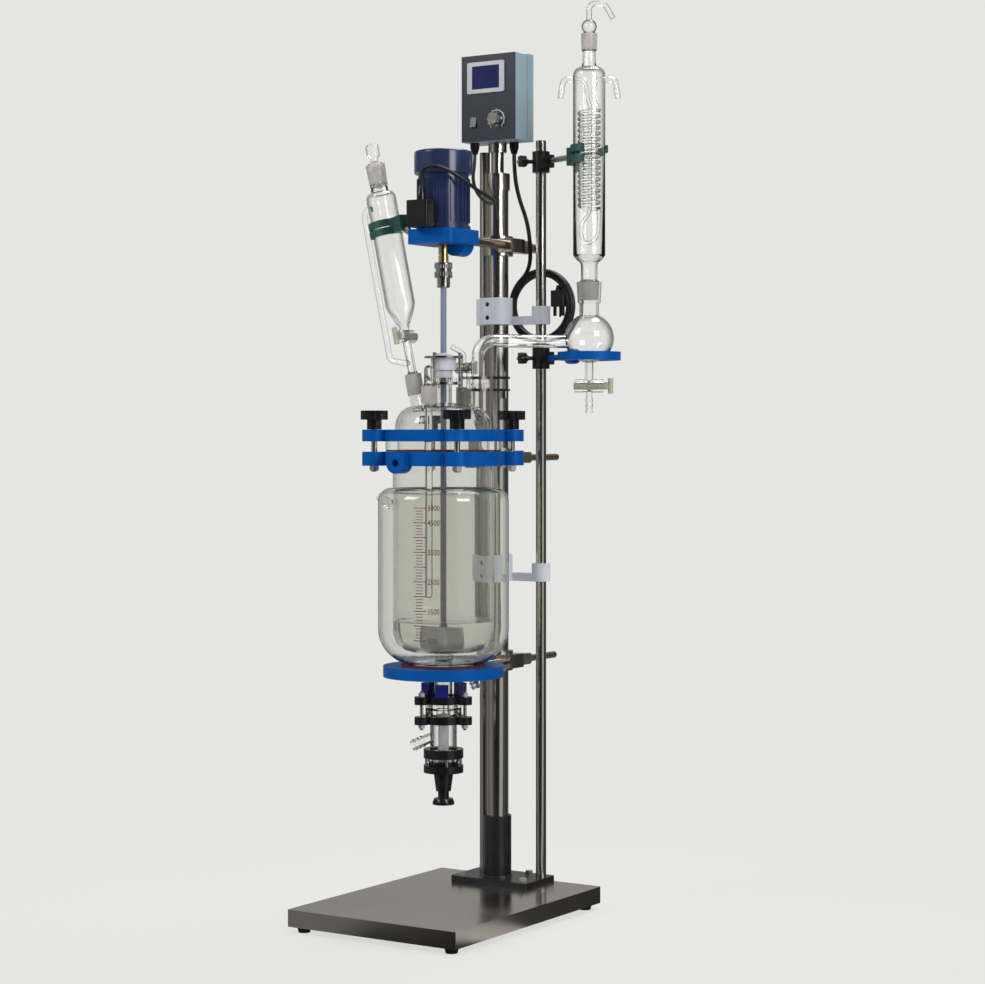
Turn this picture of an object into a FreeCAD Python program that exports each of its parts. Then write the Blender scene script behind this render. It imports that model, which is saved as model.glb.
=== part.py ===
import FreeCAD, Part
import math
import os

# Jacketed glass reactor on a column stand, in millimetres.
# Origin: centre of the base on the floor. +X right, +Y to the back, +Z up.

# Base tray and its feet
base_width = 330.0
base_depth = 450.0
tray_height = 28.0
tray_sheet = 1.5
tray_lip = 36.0
foot_height = 10.0
foot_radius = 12.0
foot_inset = 20.0

# Column stand
column_x = -12.0
column_y = 172.0
column_radius = 19.0
column_wall = 2.0
column_top = 1249.0
upper_column_radius = 11.0
upper_column_overlap = 60.0
collar_radius = 21.5
collar_height = 17.0
socket_plate_width = 154.0
socket_plate_depth = 96.0
socket_plate_thick = 10.0
socket_radius = 24.0
socket_height = 105.0
socket_bolt_inset = 14.0
weld_size = 2.5
rod_radius = 9.0
right_rod_x = 63.5
right_rod_y = 193.5
right_rod_top = 1321.0
left_rod_x = -46.0
left_rod_y = 184.0
left_rod_top = 1306.0
slip = 0.1

# Rod brackets of white plastic
bracket_levels = {"upper": 1004.0, "lower": 560.0}
bracket_height = 46.0
bracket_wall = 8.0
bracket_arm_height = 14.0
bracket_ring_height = 31.0
bracket_ring_wall = 7.0
bracket_screw_radius = 4.0

# Control box on top of the column
box_width = 110.0
box_depth = 60.0
box_height = 149.0
box_bottom = 1321.0
box_cover_depth = 20.0
box_cover_step = 1.5
panel_thick = 1.5
bezel_width = 76.0
bezel_height = 54.0
bezel_thick = 2.5
display_width = 56.0
display_height = 40.0
display_back = 1.2
bezel_below_top = 12.0
speed_knob_radius = 10.0
speed_knob_depth = 14.0
speed_knob_across = 72.0
speed_knob_up = 36.0
rocker_width = 12.0
rocker_height = 19.0
rocker_across = 25.0
rocker_up = 34.0
rocker_pocket = 9.0
rocker_pivot = 0.6
gland_radius = 8.0
gland_length = 20.0

# Vessel axis and its levels
vessel_x = 16.0
vessel_y = -37.0
ring_radius = 102.0
ear_circle = 116.0
ear_radius = 20.0
lower_ring_bottom = 762.0
lower_ring_thick = 23.0
upper_ring_bottom = 802.0
upper_ring_thick = 19.5
glass_flange_radius = 96.0
gasket_thick = 2.5
stud_radius = 5.0
star_knob_radius = 22.5
star_knob_head = 15.0
star_knob_stem = 16.0

# Jacketed vessel
glass_wall = 3.0
vessel_radius = 84.0
jacket_radius = 108.5
jacket_top = 725.0
jacket_bottom = 433.0
jacket_shoulder = 22.0
jacket_corner = 60.0
inner_floor = 448.0
inner_dish = 38.0
outlet_radius = 15.0

# Lid
lid_radius = 80.0
lid_height = 65.0
neck_circle = 58.0
neck_radius = 13.0
neck_height = 42.0
centre_neck_radius = 14.0
centre_neck_height = 40.0

# Drive
motor_plate_size = 90.0
motor_plate_bottom = 1128.0
motor_plate_thick = 24.0
motor_radius = 42.0
motor_height = 92.0
motor_cap_height = 39.0
motor_cap_radius = 48.5
shaft_radius = 5.0
coupling_radius = 8.5
coupling_length = 30.0
chuck_radius = 15.0
chuck_length = 25.0
chuck_nose_radius = 11.0
chuck_nose_length = 16.5
paddle_half_width = 33.0
paddle_height = 44.0
paddle_bottom = 454.0
paddle_thick = 4.0
paddle_pitch = 12.0

# Support rods and their clamps on the column
support_rod_radius = 6.0
motor_rod_radius = 8.0
clamp_wall = 8.0
clamp_height = 34.0
clamp_lobe = 22.0
sleeve_length = 33.0
support_reach = 322.0
motor_reach = 257.0

# Support ring under the vessel
support_ring_radius = 100.0
support_ring_thick = 18.0
support_pad = 2.0
support_ring_bottom = jacket_bottom - support_pad - support_ring_thick
support_ring_hole = 62.0

# Receiver and condenser
receiver_x = 193.8
receiver_y = 136.4
receiver_level = 975.0
receiver_radius = 41.4
receiver_wall = 2.5
receiver_plate_radius = 53.0
receiver_plate_thick = 14.0
condenser_radius = 27.0
condenser_bottom = 1100.0
condenser_top = 1430.0
socket_outer = 21.0
coil_radius = 17.0
coil_tube = 3.0
coil_turns = 17
coil_pitch = 9.5
coil_bottom = 1196.0

# Dropping funnel
funnel_angle = 180.0
funnel_circle = 47.0
funnel_tilt = 12.3
funnel_radius = 25.0
funnel_wall = 2.0

# Drain valve
drain_flange_radius = 49.0
drain_flange_thick = 13.0
drain_disc_radius = 34.0
drain_ear_radius = 12.0
drain_ear_angle = 3.0
valve_body_radius = 22.0
valve_flange_radius = 33.0

key_clear = 0.3


def vec(x, y, z):
    return FreeCAD.Vector(x, y, z)


UP = vec(0, 0, 1)


def cyl(radius, z0, z1, x=0.0, y=0.0):
    return Part.makeCylinder(radius, z1 - z0, vec(x, y, z0))


def tube(outer, inner, z0, z1, x=0.0, y=0.0):
    return cyl(outer, z0, z1, x, y).cut(cyl(inner, z0 - 1, z1 + 1, x, y))


def cone(r0, r1, z0, z1, x=0.0, y=0.0):
    return Part.makeCone(r0, r1, z1 - z0, vec(x, y, z0))


def block(x0, x1, y0, y1, z0, z1):
    return Part.makeBox(x1 - x0, y1 - y0, z1 - z0, vec(x0, y0, z0))


def bar(radius, start, end):
    """A round bar between two points."""
    along = end.sub(start)
    return Part.makeCylinder(radius, along.Length, start, along)


def fuse(shapes):
    whole = shapes[0]
    if len(shapes) > 1:
        whole = whole.fuse(shapes[1:])
    return whole.removeSplitter()


def rounded_block(x0, x1, y0, y1, z0, z1, radius):
    """A block with its four upright edges rounded."""
    solid = block(x0, x1, y0, y1, z0, z1)
    upright = [e for e in solid.Edges if abs(e.Vertexes[0].Z - e.Vertexes[1].Z) > 0.5 * (z1 - z0)]
    return solid.makeFillet(radius, upright)


class Outline:
    """A closed outline in the half plane of radius and height, turned into a solid of revolution."""

    def __init__(self, r, z):
        self.start = vec(r, 0, z)
        self.here = self.start
        self.edges = []

    def to(self, r, z):
        there = vec(r, 0, z)
        self.edges.append(Part.LineSegment(self.here, there).toShape())
        self.here = there
        return self

    def bend(self, r_mid, z_mid, r, z):
        there = vec(r, 0, z)
        self.edges.append(Part.Arc(self.here, vec(r_mid, 0, z_mid), there).toShape())
        self.here = there
        return self

    def about(self, rc, zc, r, z):
        """An arc about a centre, the short way round."""
        centre = vec(rc, 0, zc)
        there = vec(r, 0, z)
        middle = self.here.add(there).multiply(0.5).sub(centre)
        middle.normalize()
        middle = centre.add(middle.multiply(self.here.sub(centre).Length))
        return self.bend(middle.x, middle.z, r, z)

    def turn(self, x=0.0, y=0.0):
        if self.here.sub(self.start).Length > 1e-6:
            self.to(self.start.x, self.start.z)
        face = Part.Face(Part.Wire(self.edges))
        solid = face.revolve(vec(0, 0, 0), UP, 360)
        solid.translate(vec(x, y, 0))
        return solid


def corner_path(points, radii):
    """Straight runs joined by tangent arcs, one radius for each inner point."""
    edges = []
    here = points[0]
    for i in range(1, len(points) - 1):
        into = points[i].sub(points[i - 1]).normalize()
        out = points[i + 1].sub(points[i]).normalize()
        turn = into.getAngle(out)
        reach = radii[i - 1] * math.tan(turn / 2)
        first = points[i].sub(vec(*into).multiply(reach))
        last = points[i].add(vec(*out).multiply(reach))
        inward = vec(*out).sub(into).normalize()
        middle = points[i].add(inward.multiply(radii[i - 1] * (1 / math.cos(turn / 2) - 1)))
        if first.sub(here).Length > 1e-4:
            edges.append(Part.LineSegment(here, first).toShape())
        edges.append(Part.Arc(first, middle, last).toShape())
        here = last
    edges.append(Part.LineSegment(here, points[-1]).toShape())
    return Part.Wire(edges)


def swept(path, radius):
    """A round bar swept along a path of runs and arcs."""
    edge = path.OrderedEdges[0]
    start = edge.valueAt(edge.FirstParameter)
    along = edge.tangentAt(edge.FirstParameter)
    ring = Part.Wire([Part.Circle(start, along, radius).toShape()])
    return path.makePipeShell([ring], True, False)


def bent_bar(points, radius, bend):
    path = corner_path([vec(*p) for p in points], [bend] * (len(points) - 2))
    return swept(path, radius)


def bent_tube(points, radius, bore, bend):
    return bent_bar(points, radius, bend).cut(bent_bar(points, bore, bend))


def cord_tube(points, diameter, name):
    """The plain solid of a free cord, with arcs as large as its runs allow."""
    places = [vec(*p) for p in points]
    radii = []
    for i in range(1, len(places) - 1):
        into = places[i].sub(places[i - 1])
        out = places[i + 1].sub(places[i])
        turn = into.getAngle(out)
        radii.append(0.45 * min(into.Length, out.Length) / math.tan(turn / 2))
    path = corner_path(places, radii)
    solid = swept(path, diameter / 2)
    ideal = math.pi * (diameter / 2) ** 2 * path.Length
    print(name, "length", round(path.Length), "smallest bend", round(min(radii)),
          "volume ratio", round(solid.Volume / ideal, 4))
    return solid


def star_knob(x, y, z, lobes=8, radius=star_knob_radius, head=star_knob_head, stem=star_knob_stem,
              bore=stud_radius + slip):
    """A lobed hand knob with a hub below its head, z at the foot of the hub."""
    top = z + stem + head
    knob = cyl(radius, z + stem, top, x, y)
    bite = radius * math.sin(math.pi / lobes) * 0.66
    for i in range(lobes):
        angle = 2 * math.pi * i / lobes
        knob = knob.cut(cyl(bite, z + stem - 1, top + 1, x + radius * 1.06 * math.cos(angle),
                            y + radius * 1.06 * math.sin(angle)))
    hub = cyl(radius * 0.54, z, z + stem, x, y)
    knob = fuse([knob, hub])
    return knob.cut(cyl(bore, z - 1, z + stem + head * 0.6, x, y))


pieces = {}


def keep(node, *shapes):
    """Put solids into a node. Like pieces of one kind share a node."""
    pieces.setdefault(node, []).extend(shapes)


def write_parts():
    os.makedirs("parts", exist_ok=True)
    for node, shapes in pieces.items():
        whole = shapes[0] if len(shapes) == 1 else Part.makeCompound(shapes)
        whole.exportStep("parts/" + node + ".step")


# Levels that follow from the driving sizes
tray_bottom = foot_height
tray_top = tray_bottom + tray_height
plate_top = tray_top + socket_plate_thick
plate_y = base_depth / 2 - 1 - socket_plate_depth / 2
plate_x = column_x + 8.0
socket_top = plate_top + socket_height
collar_top = column_top + collar_height
upper_ring_top = upper_ring_bottom + upper_ring_thick
lower_ring_top = lower_ring_bottom + lower_ring_thick
gasket_top = lower_ring_top + 0.5 + gasket_thick
motor_plate_top = motor_plate_bottom + motor_plate_thick
support_ring_top = support_ring_bottom + support_ring_thick
ear_angles = [45.0, 135.0, 225.0, 315.0]


def base():
    hw = base_width / 2
    hd = base_depth / 2
    t = tray_sheet
    tray = rounded_block(-hw, hw, -hd, hd, tray_bottom, tray_top, 3.0)
    hollow = block(-hw + t, hw - t, -hd + t, hd - t, tray_bottom + t, tray_top - t)
    mouth = block(-hw + tray_lip, hw - tray_lip, -hd + tray_lip, hd - tray_lip, tray_bottom - 1, tray_bottom + t + 1)
    tray = tray.cut(hollow).cut(mouth)
    keep("base_tray", tray)
    feet = []
    for sx in (-1, 1):
        for sy in (-1, 1):
            feet.append(cone(foot_radius * 0.8, foot_radius, 0, foot_height,
                             sx * (hw - foot_inset), sy * (hd - foot_inset)))
    keep("rubber_feet", *feet)


def column():
    px0 = plate_x - socket_plate_width / 2
    py0 = plate_y - socket_plate_depth / 2
    plate = rounded_block(px0, px0 + socket_plate_width, py0, py0 + socket_plate_depth, tray_top, plate_top, 4.0)
    sleeve = cyl(socket_radius, plate_top, socket_top, column_x, column_y)
    weld = cone(socket_radius + weld_size, socket_radius, plate_top, plate_top + weld_size, column_x, column_y)
    socket = fuse([plate, sleeve, weld])
    socket = socket.cut(cyl(column_radius + slip, plate_top, socket_top + 1, column_x, column_y))
    keep("column_socket", socket)
    bolts = []
    for sx in (-1, 1):
        for sy in (-1, 1):
            x = plate_x + sx * (socket_plate_width / 2 - socket_bolt_inset)
            y = plate_y + sy * (socket_plate_depth / 2 - socket_bolt_inset)
            if sx > 0 and sy > 0:
                x -= 30.0
            bolts.append(hex_prism(7.0, plate_top, plate_top + 6.5, x, y))
    keep("steel_fasteners", *bolts)
    lower = tube(column_radius, column_radius - column_wall, plate_top, column_top, column_x, column_y)
    keep("column_tubes", lower)
    upper_foot = column_top - upper_column_overlap
    upper = tube(upper_column_radius, upper_column_radius - column_wall, upper_foot, box_bottom, column_x, column_y)
    keep("column_tubes", upper)
    collar = cyl(collar_radius, column_top - 12, collar_top, column_x, column_y)
    collar = collar.cut(cyl(column_radius + slip, column_top - 13, column_top, column_x, column_y))
    collar = collar.cut(cyl(upper_column_radius + slip, column_top - 1, collar_top + 1, column_x, column_y))
    bush = tube(column_radius - column_wall - slip, upper_column_radius + slip, upper_foot, column_top - slip,
                column_x, column_y)
    keep("column_collars", collar.fuse(bush))
    top_collar = tube(upper_column_radius + 5, upper_column_radius + slip, box_bottom - 18, box_bottom,
                      column_x, column_y)
    keep("column_collars", top_collar)
    keep("side_rods", cyl(rod_radius, plate_top, right_rod_top, right_rod_x, right_rod_y))
    keep("side_rods", cyl(rod_radius, plate_top, left_rod_top, left_rod_x, left_rod_y))


def hex_prism(radius, z0, z1, x, y):
    points = [vec(x + radius * math.cos(math.pi * i / 3), y + radius * math.sin(math.pi * i / 3), z0)
              for i in range(7)]
    return Part.Face(Part.makePolygon(points)).extrude(vec(0, 0, z1 - z0))


def hex_bar(radius, x, z, y0, y1):
    """A hexagon bar along Y."""
    points = [vec(x + radius * math.cos(math.pi * i / 3), y0, z + radius * math.sin(math.pi * i / 3))
              for i in range(7)]
    return Part.Face(Part.makePolygon(points)).extrude(vec(0, y1 - y0, 0))


def rod_bracket(name, z0):
    """A plastic bracket that ties the column and both rods together."""
    z1 = z0 + bracket_height
    grip = column_radius + bracket_wall
    body = fuse([
        rounded_block(column_x - grip, column_x + grip, column_y - grip, column_y + column_radius, z0, z1, 18.0),
        cyl(rod_radius + 6, z0, z1, left_rod_x, left_rod_y),
        block(left_rod_x, column_x, left_rod_y - rod_radius - 4, left_rod_y + 6, z0, z1),
    ])
    ring = cyl(rod_radius + bracket_ring_wall, z0, z0 + bracket_ring_height, right_rod_x, right_rod_y)
    arm = block(column_x, right_rod_x, right_rod_y - 14.5, right_rod_y - 0.5, z0, z0 + bracket_arm_height)
    body = fuse([body, ring, arm])
    body = body.cut(cyl(column_radius + slip, z0 - 1, z1 + 1, column_x, column_y))
    body = body.cut(cyl(rod_radius + slip, z0 - 1, z1 + 1, left_rod_x, left_rod_y))
    body = body.cut(cyl(rod_radius + slip, z0 - 1, z1 + 1, right_rod_x, right_rod_y))
    front = column_y - grip
    screws = []
    for up in (0.25, 0.75):
        z = z0 + up * bracket_height
        hole = bar(bracket_screw_radius, vec(column_x - 4, front - 1, z), vec(column_x - 4, front + 4, z))
        body = body.cut(hole)
        screws.append(bar(bracket_screw_radius - slip, vec(column_x - 4, front + 0.8, z),
                          vec(column_x - 4, front + 4, z)))
    keep("rod_brackets", body)
    return screws


def brackets():
    screws = []
    for name, z0 in bracket_levels.items():
        screws += rod_bracket(name, z0)
    keep("steel_fasteners", *screws)


def column_clamp(name, z, radius, reach, start):
    """A clamp on the column that carries one horizontal rod along Y."""
    rod_x = vessel_x
    grip = column_radius + clamp_wall
    z0 = z - clamp_height / 2
    z1 = z + clamp_height / 2
    lobe_end = rod_x + radius + 6
    body = fuse([
        cyl(grip, z0, z1, column_x, column_y),
        block(column_x, lobe_end, column_y - clamp_lobe, column_y + clamp_lobe, z0 + 5, z1 - 5),
    ])
    body = body.cut(cyl(column_radius + slip, z0 - 1, z1 + 1, column_x, column_y))
    body = body.cut(bar(radius + slip, vec(rod_x, column_y - 40, z), vec(rod_x, column_y + 40, z)))
    slit = block(column_x - grip - 1, column_x - 5, column_y - 1.5, column_y + 1.5, z0 - 1, z1 + 1)
    body = body.cut(slit)
    keep("column_clamps", body)
    rod = bar(radius, vec(rod_x, start, z), vec(rod_x, reach, z))
    sleeve_start = column_y + clamp_lobe + 0.3
    sleeve = hex_bar(radius + 5, rod_x, z, sleeve_start, sleeve_start + sleeve_length)
    sleeve = sleeve.cut(bar(radius + slip, vec(rod_x, column_y, z), vec(rod_x, column_y + 90, z)))
    keep("support_rods", rod)
    return sleeve


def ear_positions():
    for angle in ear_angles:
        a = math.radians(angle)
        yield vessel_x + ear_circle * math.cos(a), vessel_y + ear_circle * math.sin(a)


def ring_with_ears(z0, z1, bore):
    parts = [cyl(ring_radius, z0, z1, vessel_x, vessel_y)]
    parts += [cyl(ear_radius, z0, z1, x, y) for x, y in ear_positions()]
    ring = fuse(parts)
    for x, y in ear_positions():
        ring = ring.cut(cyl(stud_radius + slip, z0 - 1, z1 + 1, x, y))
    return ring.cut(cyl(bore, z0 - 1, z1 + 1, vessel_x, vessel_y))


boss_width = 30.0
boss_drop = 16.0
spare_boss_radius = 17.5
spare_boss_offset = 18.0
spare_boss_drop = 6.5
spare_bore = 6.0
bore_start = glass_flange_radius + 2.5


def clamp_rings():
    upper = ring_with_ears(upper_ring_bottom, upper_ring_top, lid_radius + 6)
    lower = ring_with_ears(lower_ring_bottom, lower_ring_top, vessel_radius + 4)
    lower = lower.cut(cyl(glass_flange_radius + 1, lower_ring_bottom + 6, lower_ring_top + 1, vessel_x, vessel_y))
    z = flange_rod_level
    edge = vessel_radius + 5
    back = vessel_y + ring_radius + 12
    lower = lower.fuse(block(vessel_x - boss_width / 2, vessel_x + boss_width / 2, vessel_y + edge, back,
                             z - boss_drop, lower_ring_bottom + 6))
    lower = lower.fuse(block(vessel_x - boss_width / 2, vessel_x + boss_width / 2,
                             vessel_y + glass_flange_radius + 1.5, back, z - boss_drop, lower_ring_top))
    lower = lower.cut(bar(spare_bore + slip, vec(vessel_x, vessel_y + bore_start, z), vec(vessel_x, back + 1, z)))
    front = vessel_y - ring_radius - 12
    sx = vessel_x - spare_boss_offset
    sz = z - spare_boss_drop
    inner = vessel_y - edge
    lobe = bar(spare_boss_radius, vec(sx, front, sz), vec(sx, inner, sz))
    web = block(sx - spare_boss_radius, sx + spare_boss_radius, front, inner, sz, lower_ring_bottom + 6)
    cheek = block(sx - spare_boss_radius, sx + spare_boss_radius, front, vessel_y - glass_flange_radius - 1.5,
                  sz, lower_ring_top)
    lobe = lobe.fuse([web, cheek])
    lobe = lobe.cut(cyl(glass_flange_radius + 1, lower_ring_bottom + 6, lower_ring_top + 1, vessel_x, vessel_y))
    lower = lower.fuse(lobe)
    lower = lower.cut(bar(spare_bore + slip, vec(sx, front - 1, sz), vec(sx, vessel_y - bore_start, sz)))
    keep("clamp_ring_upper", upper)
    keep("clamp_ring_lower", lower.removeSplitter())
    gasket = tube(glass_flange_radius - 1, vessel_radius - glass_wall, lower_ring_top + 0.5, gasket_top,
                  vessel_x, vessel_y)
    keep("silicone_gaskets", gasket)
    studs = []
    nut = 8.0
    for x, y in ear_positions():
        stud = cyl(stud_radius, lower_ring_bottom - 10, upper_ring_top + star_knob_stem, x, y)
        head = hex_prism(stud_radius * 1.7, lower_ring_bottom - nut, lower_ring_bottom, x, y)
        studs.append(stud.fuse(head))
    keep("steel_fasteners", *studs)
    for i, (x, y) in enumerate(ear_positions()):
        keep("flange_knob_" + str(i + 1), star_knob(x, y, upper_ring_top + 0.3))


flange_rod_level = lower_ring_bottom + lower_ring_thick / 2
ring_rod_level = support_ring_bottom + support_ring_thick / 2
motor_rod_level = motor_plate_bottom + motor_plate_thick / 2


def column_clamps():
    sleeves = [
        column_clamp("motor", motor_rod_level, motor_rod_radius, motor_reach, vessel_y + 20),
        column_clamp("flange", flange_rod_level, support_rod_radius, support_reach, vessel_y + bore_start),
        column_clamp("ring", ring_rod_level, support_rod_radius, support_reach - 8,
                     vessel_y + support_ring_hole + 20),
    ]
    keep("support_rods", *sleeves)


def vessel_body(r, z_neck_top, z_floor, dish):
    """The filled form of the inner vessel: a cylinder with a dished floor."""
    rim = z_floor + dish
    r_knuckle = r * 0.35
    crown = Outline(0, z_neck_top).to(r, z_neck_top).to(r, rim + r_knuckle * 0.2)
    crown.bend(r * 0.93, z_floor + dish * 0.55, r * 0.62, z_floor + dish * 0.16)
    crown.to(0, z_floor)
    return crown.turn(vessel_x, vessel_y)


def jacket_form(r, top, bottom, shoulder, corner):
    """The filled form of the jacket: round shoulder above, large round corner below."""
    form = Outline(0, top).to(r - shoulder, top).about(r - shoulder, top - shoulder, r, top - shoulder)
    form.to(r, bottom + corner).about(r - corner, bottom + corner, r - corner, bottom)
    form.to(0, bottom)
    return form.turn(vessel_x, vessel_y)


vessel_flange_bottom = lower_ring_bottom + 6
drain_glass_bottom = support_ring_bottom - 55.0
jacket_port_radius = 9.0


def jacketed_vessel():
    w = glass_wall
    flange_top = lower_ring_top + 0.5
    jacket = jacket_form(jacket_radius, jacket_top, jacket_bottom, jacket_shoulder, jacket_corner)
    gap = jacket_form(jacket_radius - w, jacket_top - w, jacket_bottom + w, jacket_shoulder - w, jacket_corner - w)
    inner = vessel_body(vessel_radius, flange_top, inner_floor, inner_dish)
    room = vessel_body(vessel_radius - w, flange_top + 1, inner_floor + w, inner_dish - 1)
    flange = cyl(glass_flange_radius, vessel_flange_bottom, flange_top, vessel_x, vessel_y)
    outlet = cyl(outlet_radius, drain_glass_bottom, inner_floor + 4, vessel_x, vessel_y)
    outlet_flange = cyl(outlet_radius * 2, drain_glass_bottom, drain_glass_bottom + 10, vessel_x, vessel_y)
    top_port, top_bore = hose_barb(jacket_radius - 2, top_port_angle, jacket_top - 30, 30.0, 28.0)
    low_port, low_bore = hose_barb(jacket_radius * 0.37, low_port_angle, jacket_bottom + 1, -68.0, 44.0)
    glass = jacket.cut(gap)
    glass = glass.fuse([inner, flange, outlet, outlet_flange, top_port, low_port])
    glass = glass.cut(room)
    glass = glass.cut(cyl(outlet_radius - w, drain_glass_bottom - 1, inner_floor + 20, vessel_x, vessel_y))
    glass = glass.cut(top_bore).cut(low_bore)
    keep("jacketed_vessel", glass.removeSplitter())


top_port_angle = 180.0
low_port_angle = 20.0


def hose_barb(reach, angle, z, tilt, length):
    """A hose barb on the jacket, from a point at a reach and angle about the axis, and its bore."""
    a = math.radians(angle)
    t = math.radians(tilt)
    along = vec(math.cos(a) * math.cos(t), math.sin(a) * math.cos(t), math.sin(t))
    wall = vec(vessel_x + reach * math.cos(a), vessel_y + reach * math.sin(a), z)
    stem = bar(jacket_port_radius - 2, wall.sub(vec(*along).multiply(1.0)), wall.add(vec(*along).multiply(length)))
    for step in (6, 13, 20):
        foot = wall.add(vec(*along).multiply(length - step))
        stem = stem.fuse(Part.makeCone(jacket_port_radius, jacket_port_radius - 2, 4, foot, along))
    bore = bar(jacket_port_radius - 4.5, wall.sub(vec(*along).multiply(4)),
               wall.add(vec(*along).multiply(length + 2)))
    return stem, bore


lid_foot = gasket_top
lid_flange_top = upper_ring_bottom
lid_apex = lid_flange_top + lid_height


def lid_form(r, foot, apex):
    """The filled form of the domed lid."""
    knuckle = r * 0.38
    side = apex - r * 0.52
    form = Outline(0, foot).to(r, foot).to(r, side)
    form.bend(r - knuckle * 0.22, side + (apex - side) * 0.52, r - knuckle * 0.8, side + (apex - side) * 0.82)
    form.bend(r * 0.36, apex - r * 0.035, 0, apex)
    return form.turn(vessel_x, vessel_y)


def neck_place(angle, circle=neck_circle):
    a = math.radians(angle)
    return vessel_x + circle * math.cos(a), vessel_y + circle * math.sin(a)


bridge_angle = 30.0
vent_angle = 88.0
thermo_angle = 280.0
neck_top = lid_apex + 26.0
neck_foot = lid_apex - 22.0
funnel_neck_x, funnel_neck_y = neck_place(funnel_angle, funnel_circle)


def tilt_funnel(shape):
    """Lean a shape made upright about the funnel's neck out to its own side."""
    a = math.radians(funnel_angle)
    axis = vec(-math.sin(a), math.cos(a), 0)
    shape.rotate(vec(funnel_neck_x, funnel_neck_y, neck_foot), axis, funnel_tilt)
    return shape


def funnel_point(out, side, up):
    """A point in the leaning frame of the funnel: out from the vessel, sideways, and up its axis."""
    a = math.radians(funnel_angle)
    t = math.radians(funnel_tilt)
    reach = out * math.cos(t) + up * math.sin(t)
    rise = up * math.cos(t) - out * math.sin(t)
    x = funnel_neck_x + reach * math.cos(a) - side * math.sin(a)
    y = funnel_neck_y + reach * math.sin(a) + side * math.cos(a)
    return vec(x, y, neck_foot + rise)


def lid():
    w = glass_wall
    dome = lid_form(lid_radius, lid_foot, lid_apex)
    room = lid_form(lid_radius - w, lid_foot - 1, lid_apex - w)
    flange = cyl(glass_flange_radius, lid_foot, lid_flange_top, vessel_x, vessel_y)
    parts = [flange]
    bores = []
    for angle in (vent_angle, thermo_angle):
        x, y = neck_place(angle)
        parts.append(cyl(neck_radius - 1, neck_foot, neck_top, x, y))
        parts.append(cyl(neck_radius, neck_top - 30, neck_top, x, y))
        bores.append(cone(neck_radius - 4.5, neck_radius - 3, neck_foot - 20, neck_top + 1, x, y))
    x, y = neck_place(bridge_angle)
    parts.append(cyl(neck_radius, neck_foot, bridge_joint, x, y))
    parts.append(cyl(neck_radius + 6, bridge_joint - 8, bridge_joint, x, y))
    bores.append(cyl(neck_radius - w, neck_foot - 20, bridge_joint + 1, x, y))
    x, y = funnel_neck_x, funnel_neck_y
    length = funnel_socket_top
    parts.append(tilt_funnel(cyl(neck_radius - 1, neck_foot - 4, neck_foot + length, x, y)))
    parts.append(tilt_funnel(cyl(neck_radius + 1, neck_foot + length - 34, neck_foot + length, x, y)))
    bores.append(tilt_funnel(cone(neck_radius - 4.5, neck_radius - 2.5, neck_foot - 20, neck_foot + length + 1, x, y)))
    centre = cyl(centre_neck_radius, lid_apex - 6, centre_flange_top, vessel_x, vessel_y)
    centre_flange = cyl(centre_neck_radius + 9, centre_flange_top - 7, centre_flange_top, vessel_x, vessel_y)
    parts += [centre, centre_flange]
    bores.append(cyl(centre_neck_radius - w, lid_apex - 20, centre_flange_top + 1, vessel_x, vessel_y))
    glass = dome.fuse(parts)
    glass = glass.cut(room)
    for bore in bores:
        glass = glass.cut(bore)
    keep("reactor_lid", glass.removeSplitter())


bridge_joint = lid_apex + 30.0
centre_flange_top = lid_apex + centre_neck_height
funnel_socket_top = 70.0
seal_height = 33.0
seal_radius = 21.0
seal_cap_height = 8.0


def stirring_seal():
    x, y = vessel_x, vessel_y
    z0 = centre_flange_top
    z1 = z0 + seal_height
    bore = shaft_radius + slip * 0.6
    body = Outline(bore, z0).to(seal_radius - 6, z0).to(seal_radius - 6, z0 + 12).to(seal_radius, z0 + 13)
    body.to(seal_radius, z1).to(bore, z1)
    cap = fuse([cyl(14, z1 + 3.2, z1 + 5.5, x, y), cyl(10, z1 - 1, z1 + seal_cap_height, x, y)])
    cap = cap.cut(cyl(bore, z1 - 2, z1 + 20, x, y))
    keep("stirring_seal", fuse([body.turn(x, y), cap]))
    plate_r = centre_neck_radius + 18
    low = tube(plate_r, centre_neck_radius + 0.3, z0 - 11, z0 - 7, x, y)
    high = tube(plate_r, 15, z1, z1 + 3.0, x, y)
    studs = []
    for i in range(3):
        a = math.radians(30 + 120 * i)
        sx = x + (plate_r - 5) * math.cos(a)
        sy = y + (plate_r - 5) * math.sin(a)
        studs.append(cyl(2.5, z0 - 16, z1 + 9, sx, sy))
    clamp = low.fuse([high] + studs)
    keep("joint_clamps", clamp.removeSplitter())


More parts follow.
